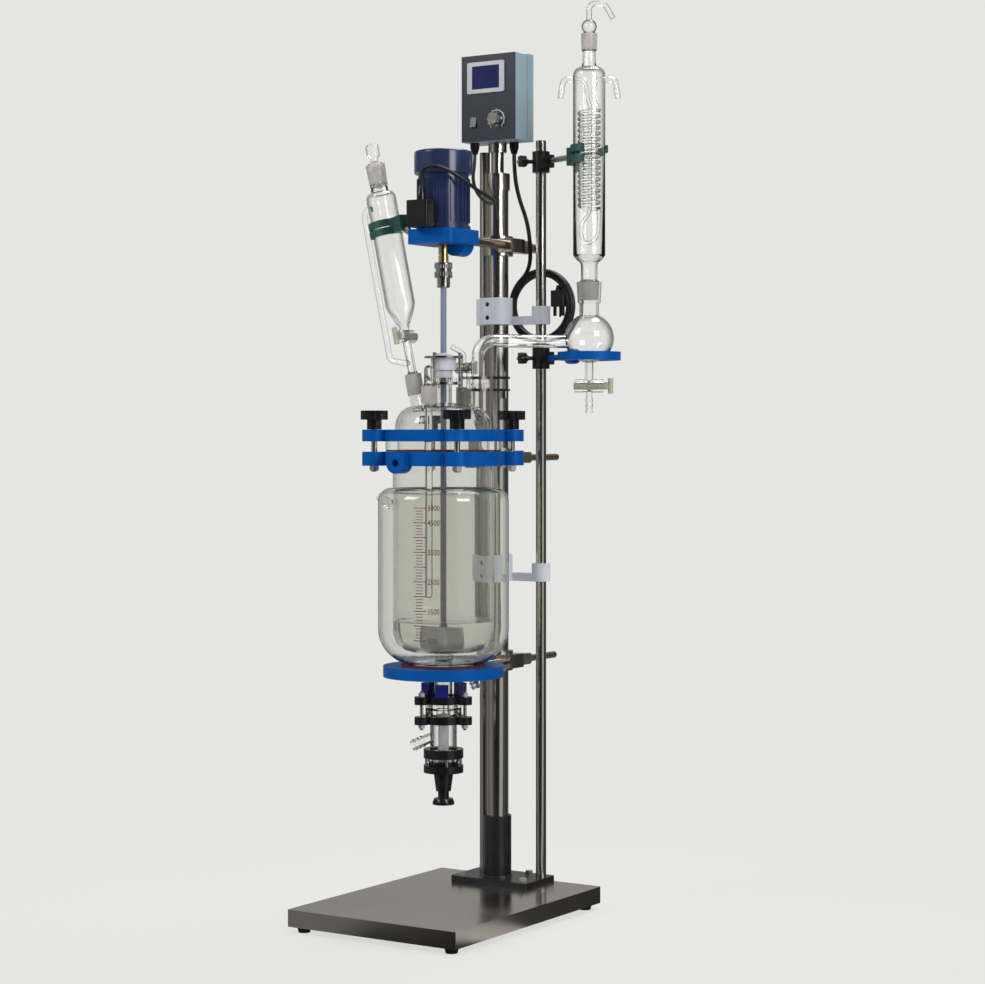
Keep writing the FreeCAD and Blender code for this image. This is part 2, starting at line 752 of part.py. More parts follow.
def drive():
    x, y = vessel_x, vessel_y
    h = motor_plate_size / 2
    z0 = motor_plate_bottom
    z1 = motor_plate_top
    plate = rounded_block(x - h, x + h, y - h, y + h, z0, z1, 10.0)
    bx = x + motor_boss_offset
    bz = motor_rod_level - motor_boss_drop
    boss = bar(motor_boss_radius, vec(bx, y + 16, bz), vec(bx, y + h, bz))
    plate = plate.fuse(boss)
    plate = plate.cut(cyl(coupling_radius + 3, z0 - 20, z1 - 6, x, y))
    plate = plate.cut(cyl(coupling_radius + 1, z0, z1 + 1, x, y))
    plate = plate.cut(bar(motor_rod_radius + slip, vec(x, y + 20, motor_rod_level), vec(x, y + h + 5, motor_rod_level)))
    keep("motor_plate", plate.removeSplitter())
    top = z1 + motor_height
    body = cyl(motor_radius, z1, top, x, y)
    flange = cyl(motor_radius + 3, z1, z1 + 6, x, y)
    fins = []
    count = 28
    for i in range(count):
        a = 2 * math.pi * i / count
        fin = block(motor_radius - 2, motor_radius + 2.5, -0.9, 0.9, z1 + 12, top - 8)
        fin.rotate(vec(0, 0, 0), UP, math.degrees(a))
        fin.translate(vec(x, y, 0))
        fins.append(fin)
    body = body.fuse([flange] + fins)
    body = body.cut(cyl(coupling_radius + 1, z1 - 1, z1 + 9, x, y))
    keep("motor_body", body.removeSplitter())
    peak = top + motor_cap_height
    cap = Outline(0, top).to(motor_cap_radius - 1.5, top).to(motor_cap_radius, top + 1.5)
    cap.to(motor_cap_radius, peak - 5).about(motor_cap_radius - 5, peak - 5, motor_cap_radius - 5, peak)
    cap.to(0, peak)
    cap = cap.turn(x, y)
    keep("motor_body", cap)
    bx = x + terminal_offset
    by = y - motor_radius - terminal_depth / 2
    term = rounded_block(bx - terminal_width / 2, bx + terminal_width / 2, by - terminal_depth / 2 - 6,
                         by + terminal_depth / 2, z1 + 1, z1 + terminal_height, 3.0)
    term = term.cut(cyl(motor_radius + 3.2, z1 - 1, top, x, y))
    keep("terminal_box", term)
    gx = bx - 2
    gy = by - 1
    foot = z1 + terminal_height
    gland = fuse([cyl(7.5, foot, foot + 9, gx, gy), cone(7.5, 4.5, foot + 9, foot + 24, gx, gy)])
    gland = gland.cut(cyl(motor_cable / 2 + slip, foot + 12, foot + 30, gx, gy))
    keep("cable_glands", gland)
    return vec(gx, gy, foot + 12)


terminal_offset = -4.0
terminal_width = 41.0
terminal_depth = 26.0
terminal_height = 45.0
motor_boss_radius = 20.0
motor_boss_offset = 11.0
motor_boss_drop = 10.0
motor_cable = 6.0


def stirrer():
    x, y = vessel_x, vessel_y
    top = motor_plate_top + 6
    z_coupling = motor_plate_bottom - coupling_length
    z_chuck = z_coupling - chuck_length
    z_nose = z_chuck - chuck_nose_length
    coupling = cyl(coupling_radius, z_coupling, motor_plate_bottom + 10, x, y)
    drive_end = cyl(coupling_radius - 2, motor_plate_bottom + 10, top, x, y)
    groove = tube(coupling_radius + 1, coupling_radius - 1, z_coupling + 12, z_coupling + 14, x, y)
    keep("drive_coupling", fuse([coupling, drive_end]).cut(groove))
    chuck = Outline(0, z_coupling).to(chuck_radius - 1, z_coupling).to(chuck_radius, z_coupling - 1)
    chuck.to(chuck_radius, z_chuck).to(chuck_nose_radius, z_chuck).to(chuck_nose_radius, z_nose + 2)
    chuck.to(chuck_nose_radius - 2, z_nose).to(0, z_nose)
    chuck = chuck.turn(x, y)
    for i in range(20):
        a = 2 * math.pi * i / 20
        flute = cyl(1.4, z_chuck + 2, z_coupling - 3, x + (chuck_radius + 0.5) * math.cos(a),
                    y + (chuck_radius + 0.5) * math.sin(a))
        chuck = chuck.cut(flute)
    middle = (z_chuck + z_coupling) / 2
    chuck = chuck.cut(tube(chuck_radius + 1, chuck_radius - 1.8, middle - 3, middle + 3, x, y))
    chuck = chuck.cut(cyl(shaft_radius, z_nose - 1, z_nose + 12, x, y))
    keep("chuck", chuck)
    keep("stirrer_shaft", cyl(shaft_radius, paddle_bottom + paddle_hub_up, z_nose + 12, x, y))
    half = paddle_half_width
    z0 = paddle_bottom
    z1 = paddle_bottom + paddle_height
    middle = (z0 + z1) / 2
    blades = []
    for side in (-1, 1):
        corners = [vec(0, 0, z1), vec(side * half, 0, z1), vec(side * half, 0, z0 + paddle_height * 0.42),
                   vec(side * half * 0.55, 0, z0), vec(0, 0, z0)]
        blade = Part.Face(Part.makePolygon(corners + [corners[0]])).extrude(vec(0, paddle_thick, 0))
        blade.translate(vec(0, -paddle_thick / 2, 0))
        blade.rotate(vec(0, 0, middle), vec(1, 0, 0), side * paddle_pitch)
        blade.translate(vec(x, y, 0))
        blades.append(blade)
    hub = cyl(shaft_radius + 4, z0 + 6, z1 - 1, x, y)
    paddle = fuse(blades + [hub]).cut(cyl(shaft_radius, paddle_bottom + paddle_hub_up, z1 + 20, x, y))
    keep("stirrer_paddle", paddle.removeSplitter())


paddle_hub_up = 14.0


def support_ring():
    x, y = vessel_x, vessel_y
    z0 = support_ring_bottom
    z1 = support_ring_top
    ring = cyl(support_ring_radius, z0, z1, x, y)
    boss = block(x - 14, x + 14, y + support_ring_radius - 12, y + support_ring_radius + 8, z0, z1)
    ring = ring.fuse(boss).cut(cyl(support_ring_hole, z0 - 1, z1 + 1, x, y))
    ring = ring.cut(bar(support_rod_radius + slip, vec(x, y + support_ring_hole + 20, ring_rod_level),
                        vec(x, y + support_ring_radius + 12, ring_rod_level)))
    keep("support_ring", ring.removeSplitter())
    pad_top = jacket_bottom + 0.5
    keep("silicone_gaskets", tube(support_ring_hole + 8, support_ring_hole, z1, pad_top, x, y))


def drain_plate(bore, z0):
    """A three-lobed clamping plate; each lobe takes one stud."""
    x, y = vessel_x, vessel_y
    z1 = z0 + drain_flange_thick
    reach = drain_flange_radius - 8
    plate = cyl(drain_disc_radius, z0, z1, x, y)
    for i in range(3):
        a = math.radians(drain_ear_angle + 120 * i)
        plate = plate.fuse(cyl(drain_ear_radius, z0, z1, x + reach * math.cos(a), y + reach * math.sin(a)))
    return plate.cut(cyl(bore, z0 - 1, z1 + 1, x, y)).removeSplitter()


def drain_valve():
    x, y = vessel_x, vessel_y
    joint = drain_glass_bottom
    r_glass = outlet_radius * 2
    upper = drain_plate(outlet_radius + 3, joint + 10)
    lower_top = joint - 10
    lower = drain_plate(valve_body_radius + 1, lower_top - drain_flange_thick)
    studs = []
    for i in range(3):
        a = math.radians(drain_ear_angle + 120 * i)
        sx = x + (drain_flange_radius - 8) * math.cos(a)
        sy = y + (drain_flange_radius - 8) * math.sin(a)
        upper = upper.cut(cyl(3 + slip, joint, joint + 40, sx, sy))
        lower = lower.cut(cyl(3 + slip, joint - 60, joint, sx, sy))
        stud = cyl(3, lower_top - drain_flange_thick - 9, joint + 10 + drain_flange_thick + 9, sx, sy)
        nut_low = hex_prism(6, lower_top - drain_flange_thick - 6, lower_top - drain_flange_thick, sx, sy)
        nut_high = hex_prism(6, joint + 10 + drain_flange_thick, joint + 16 + drain_flange_thick, sx, sy)
        studs.append(stud.fuse([nut_low, nut_high]))
    keep("drain_flanges", upper)
    keep("drain_flanges", lower)
    keep("steel_fasteners", *studs)
    inserts = []
    for i in range(3):
        a = math.radians(60 + 120 * i)
        wedge = block(-7, 7, -10, 10, joint + 10 + drain_flange_thick, joint + 30 + drain_flange_thick)
        wedge.translate(vec(outlet_radius + 16, 0, 0))
        wedge.rotate(vec(0, 0, 0), UP, math.degrees(a))
        wedge.translate(vec(x, y, 0))
        inserts.append(wedge)
    keep("support_ring", *inserts)
    z_low = valve_joint
    body = cyl(valve_body_radius, z_low, joint, x, y)
    top_rim = cyl(r_glass, joint - 10, joint, x, y)
    low_rim = cyl(valve_body_radius + 4, z_low, z_low + 6, x, y)
    side_a = math.radians(205)
    out = vec(math.cos(side_a), math.sin(side_a), -0.45)
    out.normalize()
    mid = vec(x, y, joint - 38)
    side = bar(8, mid, mid.add(vec(*out).multiply(58)))
    ribs = []
    for start in (37.0, 44.0, 51.0):
        ribs.append(bar(9.6, mid.add(vec(*out).multiply(start)), mid.add(vec(*out).multiply(start + 3.5))))
    glass = body.fuse([top_rim, low_rim, side] + ribs)
    glass = glass.cut(cyl(valve_body_radius - glass_wall, z_low - 1, joint - 14, x, y))
    glass = glass.cut(cyl(outlet_radius - glass_wall, joint - 20, joint + 1, x, y))
    glass = glass.cut(bar(5.5, mid, mid.add(vec(*out).multiply(70))))
    keep("drain_valve_body", glass.removeSplitter())
    z3 = z_low + 6
    ring3 = tube(valve_flange_radius, valve_body_radius + 1, z3, z3 + 15, x, y)
    z4 = z_low - 6
    housing = Outline(9.2, z4 - 43).to(12.4, z4 - 43).to(16.6, z4 - 12).to(valve_flange_radius, z4 - 12)
    housing.to(valve_flange_radius, z4).to(valve_body_radius + 3, z4).to(valve_body_radius + 3, z_low)
    housing.to(9.2, z_low)
    keep("drain_flanges", ring3)
    keep("valve_housing", housing.turn(x, y))
    bolts = []
    for i in range(4):
        a = math.radians(45 + 90 * i)
        bx = x + (valve_flange_radius - 4) * math.cos(a)
        by = y + (valve_flange_radius - 4) * math.sin(a)
        bolts.append(cyl(2.2, z4, z3, bx, by))
    keep("steel_fasteners", *bolts)
    plug = fuse([cyl(8.9, z4 - 55, joint - 24, x, y),
                 cyl(outlet_radius - glass_wall - 0.4, joint - 24, joint - 8, x, y)])
    keep("valve_stem", plug)
    knob_top = z4 - 55.3
    keep("valve_knob", fluted_knob(x, y, knob_top - valve_knob_height))


valve_knob_radius = 18.0
valve_knob_height = 10.0


def fluted_knob(x, y, z):
    """The valve's hand wheel: it flares towards its foot and has flutes round its edge."""
    radius = valve_knob_radius
    height = valve_knob_height
    knob = fuse([cone(radius, radius - 2.5, z + 4, z + height, x, y), cyl(radius, z, z + 4, x, y)])
    for i in range(16):
        a = 2 * math.pi * i / 16
        knob = knob.cut(cyl(1.8, z - 1, z + height + 1, x + (radius + 0.6) * math.cos(a),
                            y + (radius + 0.6) * math.sin(a)))
    return knob


valve_joint = drain_glass_bottom - 86.0


def thermowell():
    x, y = neck_place(thermo_angle)
    z = neck_top
    form = Outline(0, z - 28).to(neck_radius - 4.2, z - 28).to(neck_radius - 3.2, z).to(neck_radius - 5, z + 3)
    form.to(neck_radius - 5, z + 26).about(0.5, z + 26, 0.5, z + 26 + neck_radius - 5.5).to(0, z + 33.5)
    head = form.turn(x, y)
    probe = cyl(6.0, 552.0, z - 20, x, y)
    tip = Part.makeSphere(6.0, vec(x, y, 552.0))
    well = fuse([head, probe, tip])
    keep("thermowell", well)


def vent_valve():
    x, y = neck_place(vent_angle)
    z = neck_top
    plug = cone(neck_radius - 4.4, neck_radius - 3.3, z - 28, z, x, y)
    stem = cyl(6.0, z - 2, z + 26, x, y)
    axis_z = z + 32.0
    barrel = bar(9.0, vec(x - 14, y, axis_z), vec(x + 14, y, axis_z))
    spout = bent_bar([(x, y, axis_z + 4), (x, y, axis_z + 24), (x - 20, y - 8, axis_z + 36)], 4.0, 10.0)
    body = fuse([plug, stem, barrel, spout])
    body = body.cut(bar(5.0 + key_clear, vec(x - 20, y, axis_z), vec(x + 20, y, axis_z)))
    keep("vent_valve", body)
    key = bar(5.0, vec(x - 15, y, axis_z), vec(x + 18, y, axis_z))
    grip = block(x + 16, x + 25, y - 3, y + 3, axis_z - 11, axis_z + 11)
    keep("vent_key", fuse([key, grip]))


def funnel():
    """The pressure-equalising dropping funnel, made upright about its neck and then leaned."""
    x, y = funnel_neck_x, funnel_neck_y
    w = funnel_wall
    s0 = neck_foot + funnel_socket_top
    s_stop = s0 + 57.0
    s_cone = s0 + 75.0
    s_body = s0 + 120.0
    s_shoulder = s_body + 185.0
    s_socket = s_shoulder + 22.0
    s_top = s_socket + 36.0
    r = funnel_radius
    outer = Outline(0, s0 - 33).to(neck_radius - 4.1, s0 - 33).to(neck_radius - 2.9, s0).to(7, s0 + 6)
    outer.to(7, s_cone).about(7 + 22, s_cone, 7 + 6, s_cone + 16).to(r - 3, s_body - 10)
    outer.to(r, s_body).to(r, s_shoulder).about(r - 10, s_shoulder, r - 10, s_shoulder + 10)
    outer.to(14, s_socket).to(15, s_socket).to(16.5, s_top).to(0, s_top)
    inner = Outline(0, s_cone + 6).to(4, s_cone + 6).to(4 + 5, s_cone + 18).to(r - 3 - w, s_body - 9)
    inner.to(r - w, s_body).to(r - w, s_shoulder).about(r - 10, s_shoulder, r - 10, s_shoulder + 10 - w)
    inner.to(11, s_socket).to(13.5, s_top + 1).to(0, s_top + 1)
    shell = outer.turn(x, y).cut(inner.turn(x, y))
    a = math.radians(funnel_angle)
    out = vec(math.cos(a), math.sin(a), 0)
    across = vec(-math.sin(a), math.cos(a), 0)
    axis = vec(x, y, s_stop + 9)
    barrel = bar(11.0, axis.sub(vec(*across).multiply(20)), axis.add(vec(*across).multiply(20)))
    arm = 40.0
    points = [
        (x + out.x * (r - 2), y + out.y * (r - 2), s_shoulder - 12),
        (x + out.x * arm, y + out.y * arm, s_shoulder - 12),
        (x + out.x * arm, y + out.y * arm, s0 + 34),
        (x + out.x * 5, y + out.y * 5, s0 + 20),
    ]
    side_tube = bent_bar(points, 5.0, 12.0)
    lower_bore = cyl(3.5, s0 - 40, s_stop + 5, x, y)
    shell = shell.fuse([barrel, side_tube])
    shell = shell.cut(lower_bore)
    shell = shell.cut(bar(6.0 + key_clear, axis.sub(vec(*across).multiply(30)), axis.add(vec(*across).multiply(30))))
    keep("dropping_funnel", tilt_funnel(shell.removeSplitter()))
    key_bar = bar(6.0, axis.sub(vec(*across).multiply(22)), axis.add(vec(*across).multiply(26)))
    handle = bar(4.5, axis.add(vec(*across).multiply(30)).add(vec(0, 0, -14)),
                 axis.add(vec(*across).multiply(30)).add(vec(0, 0, 14)))
    key = fuse([key_bar, handle])
    keep("funnel_key", tilt_funnel(key))
    stop = Outline(0, s_top - 30).to(11.2, s_top - 30).to(13.1, s_top + 0.3).to(12, s_top + 3)
    stop.to(6, s_top + 6).to(6, s_top + 12).to(11, s_top + 16).to(11, s_top + 32)
    stop.about(7, s_top + 32, 7, s_top + 36).to(0, s_top + 36)
    keep("funnel_stopper", tilt_funnel(stop.turn(x, y)))
    up = s_body + 130.0 - neck_foot
    return up


finger_height = 12.0
finger_wall = 4.7
finger_gap = 0.3
palm_reach = 20.0


def finger_clamp(centre, away, radius, height, pair=1):
    """A three-finger clamp: two fingers one above the other on one side, a single one on the other side."""
    turn = math.degrees(math.atan2(away.y, away.x)) + 180
    outer = radius + finger_gap + finger_wall
    gap = height - 2 * finger_height
    levels = [(pair, -height / 2), (pair, -height / 2 + finger_height + gap), (-pair, height / 2 - finger_height)]
    palm = block(-outer - palm_reach, -radius - 3.5, -10, 10, -height / 2, height / 2)
    palm = palm.cut(cyl(radius + finger_gap, -height, height))
    parts = [palm]
    for side, low in levels:
        finger = tube(outer, radius + finger_gap, low, low + finger_height)
        finger = finger.cut(block(-outer - 1, outer + 1, min(0, -side * (outer + 1)), max(0, -side * (outer + 1)),
                                  low - 1, low + finger_height + 1))
        finger = finger.cut(block(radius * 0.62, outer + 1, -outer - 1, outer + 1, low - 1, low + finger_height + 1))
        parts.append(finger)
    shape = fuse(parts)
    shape.rotate(vec(0, 0, 0), UP, turn)
    shape.translate(centre)
    return shape


def boss_head(x, y, z, turn):
    """A boss head on an upright rod: one jaw round the rod, a cross hole beside it for the arm."""
    body = fuse([
        cyl(rod_radius + 6, z - 18, z + 18, 0, 0),
        block(-2, 26, -10, 10, z - 11, z + 11),
    ])
    body = body.cut(cyl(rod_radius + slip, z - 19, z + 19, 0, 0))
    body.rotate(vec(0, 0, 0), UP, turn)
    body.translate(vec(x, y, 0))
    return body


def screw_knob(start, along, radius=10.0, neck=14.0, head=12.0):
    """A hand screw: a plain neck and a lobed head."""
    knob = star_knob(0, 0, 0, lobes=6, radius=radius, head=head, stem=4.0, bore=0.5)
    neck_bar = cyl(3.5, -neck, 3, 0, 0)
    knob = fuse([knob, neck_bar])
    knob.rotate(vec(0, 0, 0), vec(0, 0, 1).cross(along), math.degrees(vec(0, 0, 1).getAngle(along)))
    knob.translate(start)
    return knob


receiver_top = receiver_level + 94.0
receiver_plate_top = receiver_level - 23.0
stopcock_level = receiver_level - 80.0


def receiver():
    x, y = receiver_x, receiver_y
    r = receiver_radius
    w = receiver_wall
    z = receiver_level
    neck_r = 16.4
    ball = Part.makeSphere(r, vec(x, y, z))
    neck = cyl(neck_r, z + 30, z + 62, x, y)
    socket = cone(socket_outer - 2, socket_outer, z + 59, receiver_top, x, y)
    stem = cyl(7.0, stopcock_level, z - r + 4, x, y)
    barrel_dir = vec(0.8396, 0.5433, 0)
    axis = vec(x, y, stopcock_level)
    barrel = bar(11.0, axis.sub(vec(*barrel_dir).multiply(24)), axis.add(vec(*barrel_dir).multiply(24)))
    barb = cyl(5.4, stopcock_level - 46, stopcock_level, x, y)
    rings = [cone(6.8, 5.4, stopcock_level - 44 + 9 * i, stopcock_level - 38 + 9 * i, x, y) for i in range(3)]
    bx, by = neck_place(bridge_angle)
    run_level = z - 6.0
    tube_points = [(bx, by, bridge_joint + 0.3), (bx, by, run_level), (x - 10, y - 11.3, run_level)]
    bridge = bent_bar(tube_points, 11.0, 26.0)
    bridge_bore = bent_bar([(bx, by, bridge_joint - 1), tube_points[1], tube_points[2]], 9.0, 26.0)
    rim = cyl(neck_radius + 6, bridge_joint + 0.3, bridge_joint + 8, bx, by)
    glass = ball.fuse([neck, socket, stem, barrel, barb, bridge, rim] + rings)
    glass = glass.cut(Part.makeSphere(r - w, vec(x, y, z)))
    glass = glass.cut(cyl(neck_r - w, z, z + 62, x, y))
    glass = glass.cut(cone(socket_outer - 5.5, socket_outer - 3.5, z + 62, receiver_top + 0.1, x, y))
    glass = glass.cut(bridge_bore)
    glass = glass.cut(cyl(3.5, stopcock_level - 47, z - r + 6, x, y))
    glass = glass.cut(bar(6.0 + key_clear, axis.sub(vec(*barrel_dir).multiply(30)),
                          axis.add(vec(*barrel_dir).multiply(30))))
    keep("receiver", glass.removeSplitter())
    key = bar(6.0, axis.sub(vec(*barrel_dir).multiply(26)), axis.add(vec(*barrel_dir).multiply(32)))
    grip_at = axis.add(vec(*barrel_dir).multiply(36))
    grip = bar(4.5, grip_at.sub(vec(0, 0, 13)), grip_at.add(vec(0, 0, 13)))
    keep("receiver_key", fuse([key, grip]))
    plates = []
    for z0 in (bridge_joint - 12, bridge_joint + 8):
        ring = tube(neck_radius + 14, neck_radius + 0.6, z0, z0 + 4, bx, by)
        tongue = block(0, 52, -8, 8, z0, z0 + 4).cut(cyl(neck_radius + 10, z0 - 1, z0 + 5))
        tongue.translate(vec(bx, by, 0))
        tongue.rotate(vec(bx, by, 0), UP, 20)
        plates.append(ring.fuse(tongue))
    a = math.radians(20)
    sx = bx + 44 * math.cos(a)
    sy = by + 44 * math.sin(a)
    screw = cyl(2.5, bridge_joint - 18, bridge_joint + 20, sx, sy)
    wing = cyl(7, bridge_joint - 24, bridge_joint - 12, sx, sy)
    keep("joint_clamps", fuse(plates + [screw, wing]))


arm_level = receiver_plate_top - receiver_plate_thick / 2


def receiver_support():
    x, y = receiver_x, receiver_y
    z1 = receiver_plate_top
    z0 = z1 - receiver_plate_thick
    towards = vec(right_rod_x - x, right_rod_y - y, 0)
    distance = towards.Length
    towards.normalize()
    seat = math.sqrt(receiver_radius ** 2 - (receiver_level - z1) ** 2) + 0.4
    plate = cyl(receiver_plate_radius, z0, z1, x, y)
    foot = vec(x, y, arm_level)
    boss = bar(12, foot.add(vec(*towards).multiply(40)), foot.add(vec(*towards).multiply(58)))
    plate = plate.fuse(boss).cut(cyl(seat, z0 - 20, z1 + 20, x, y))
    arm = bar(5, foot.add(vec(*towards).multiply(42)), foot.add(vec(*towards).multiply(distance - rod_radius - 8)))
    keep("receiver_plate", fuse([plate, arm]))
    turn = math.degrees(math.atan2(-towards.y, -towards.x))
    head = boss_head(right_rod_x, right_rod_y, arm_level, turn)
    head = head.cut(bar(5 + slip, foot, foot.add(vec(*towards).multiply(distance - rod_radius - 8 + slip))))
    keep("boss_heads", head)
    side = vec(-towards.y, towards.x, 0)
    return towards, side


def clamp_knobs(towards_receiver):
    """Hand screws of the two boss heads, one on the upright rod's jaw and one on the arm's jaw."""
    front = vec(-0.55, -0.835, 0)
    for name, level in (("receiver", arm_level), ("condenser", condenser_arm_level)):
        start = vec(right_rod_x, right_rod_y, level).add(vec(*front).multiply(rod_radius + 6 + 10.3))
        keep(name + "_boss_knob", screw_knob(start, front, radius=10.0, neck=10.0))


condenser_arm_level = 1284.0
coil_top = coil_bottom + coil_turns * coil_pitch


def condenser():
    x, y = receiver_x, receiver_y
    r = condenser_radius
    w = 2.0
    z0 = condenser_bottom
    z1 = condenser_top
    joint = receiver_top
    outer = Outline(0, joint - 30).to(15.2, joint - 30).to(17.2, joint + 0.3).to(13.8, joint + 4)
    outer.to(13.8, z0 - 4).about(13.8 + 10, z0 - 4, r - 6, z0 + 6).to(r, z0 + 14)
    outer.to(r, z1 - 14).about(r - 14, z1 - 14, r - 14, z1).to(11, z1 + 8).to(11, z1 + 26)
    outer.to(12.8, z1 + 28).to(13.6, z1 + 56).to(0, z1 + 56)
    inner = Outline(0, joint - 31).to(12.5, joint - 31).to(11.8, joint + 4).to(11.8, z0 - 2).to(r - 6 - w, z0 + 9)
    inner.to(r - w, z0 + 15).to(r - w, z1 - 14).about(r - 14, z1 - 14, r - 14, z1 - w).to(9, z1 + 8)
    inner.to(9, z1 + 26).to(10.6, z1 + 57).to(0, z1 + 57)
    shell = outer.turn(x, y).cut(inner.turn(x, y))
    ports = []
    bores = []
    for side in (-1, 1):
        dx = 0.8396 * side
        dy = 0.5433 * side
        points = [
            (x + dx * (r - 1), y + dy * (r - 1), z1 - 22),
            (x + dx * (r + 16), y + dy * (r + 16), z1 - 17),
            (x + dx * (r + 21), y + dy * (r + 21), z1 - 52),
        ]
        ports.append(bent_bar(points, 5.0, 10.0))
        bores.append(bent_bar(points, 3.0, 10.0))
    shell = shell.fuse(ports)
    for bore in bores:
        shell = shell.cut(bore)
    keep("condenser", shell.removeSplitter())
    keep("condenser_coil", coil(x, y))
    top = z1 + 56
    cone_r = 10.2
    adapter = Outline(0, top - 28).to(cone_r - 1.4, top - 28).to(cone_r, top).to(9.0, top + 3)
    adapter.about(0, top + 12, 5, top + 12 + 11.2).to(0, top + 24)
    plug = adapter.turn(x, y)
    bend_points = [
        (x, y, top + 20),
        (x, y, top + 52),
        (x + 0.8396 * 26, y + 0.5433 * 26, top + 50),
        (x + 0.8396 * 40, y + 0.5433 * 40, top + 26),
    ]
    spout = bent_bar(bend_points, 4.5, 11.0)
    keep("condenser_adapter", fuse([plug, spout]))


def coil(x, y):
    """The condenser's glass coil: a mitred helix of short prisms, with its riser up the middle."""
    per_turn = 12
    sides = 8
    stations = []
    count = coil_turns * per_turn
    for i in range(count + 1):
        a = 2 * math.pi * i / per_turn
        stations.append(vec(x + coil_radius * math.cos(a), y + coil_radius * math.sin(a),
                            coil_bottom + coil_pitch * i / per_turn))
    first = stations[1].sub(stations[0]).normalize()
    outward = vec(1, 0, 0)
    upward = first.cross(outward)
    loop = []
    for k in range(sides):
        b = 2 * math.pi * (k + 0.5) / sides
        loop.append(stations[0].add(vec(*outward).multiply(coil_tube * math.cos(b)))
                    .add(vec(*upward).multiply(coil_tube * math.sin(b))))
    faces = [Part.Face(Part.makePolygon(loop + [loop[0]]))]
    for i in range(count):
        along = stations[i + 1].sub(stations[i]).normalize()
        if i < count - 1:
            following = stations[i + 2].sub(stations[i + 1]).normalize()
            normal = vec(*along).add(following)
        else:
            normal = vec(*along)
        moved = []
        for p in loop:
            gap = stations[i + 1].sub(p).dot(normal) / along.dot(normal)
            moved.append(p.add(vec(*along).multiply(gap)))
        for k in range(sides):
            n = (k + 1) % sides
            faces.append(Part.Face(Part.makePolygon([loop[k], loop[n], moved[n], moved[k], loop[k]])))
        loop = moved
    faces.append(Part.Face(Part.makePolygon(loop + [loop[0]])))
    shell = Part.makeShell(faces)
    shell.sewShape()
    helix = Part.makeSolid(shell)
    if helix.Volume < 0:
        helix.reverse()
    foot = coil_bottom
    hook = bent_bar([
        (x + coil_radius, y, foot + 1),
        (x + coil_radius, y - 0.5, foot - 34),
        (x, y - 0.5, foot - 62),
        (x, y, foot - 20),
        (x, y, coil_top + 30),
    ], coil_tube, 7.0)
    lead = bent_bar([
        (x + coil_radius, y, coil_top - 1),
        (x + coil_radius, y, coil_top + 36),
        (x + coil_radius + 5, y + 2, coil_top + 46),
    ], coil_tube, 6.0)
    return helix.fuse([hook, lead])


def condenser_support():
    x, y = receiver_x, receiver_y
    z = condenser_arm_level
    towards = vec(right_rod_x - x, right_rod_y - y, 0)
    distance = towards.Length
    towards.normalize()
    clamp = finger_clamp(vec(x, y, z), towards, condenser_radius, 30.0, -1)
    foot = vec(x, y, z)
    arm = bar(5, foot.add(vec(*towards).multiply(condenser_radius + 15)),
              foot.add(vec(*towards).multiply(distance - rod_radius - 8)))
    keep("finger_clamps", fuse([clamp, arm]))
    turn = math.degrees(math.atan2(-towards.y, -towards.x))
    head = boss_head(right_rod_x, right_rod_y, z, turn)
    head = head.cut(bar(5 + slip, foot, foot.add(vec(*towards).multiply(distance - rod_radius - 8 + slip))))
    keep("boss_heads", head)


def funnel_support(up):
    """The finger clamp of the funnel, on an arm from the motor plate."""
    centre = funnel_point(0, 0, up)
    plate_left = vec(vessel_x - motor_plate_size / 2, vessel_y - 20, motor_rod_level)
    towards = plate_left.sub(centre)
    towards.z = 0
    distance = towards.Length
    towards.normalize()
    clamp = finger_clamp(vec(0, 0, 0), towards, funnel_radius, 26.0)
    a = math.radians(funnel_angle)
    clamp.rotate(vec(0, 0, 0), vec(-math.sin(a), math.cos(a), 0), funnel_tilt)
    clamp.translate(centre)
    start = centre.add(vec(*towards).multiply(funnel_radius + 16))
    end = centre.add(vec(*towards).multiply(distance + 9))
    end.z = motor_rod_level
    deep = centre.add(vec(*towards).multiply(distance + 9.5))
    deep.z = motor_rod_level
    plate = pieces["motor_plate"].pop()
    keep("motor_plate", plate.cut(bar(5 + slip, start, deep)))
    keep("finger_clamps", fuse([clamp, bar(5, start, end)]))


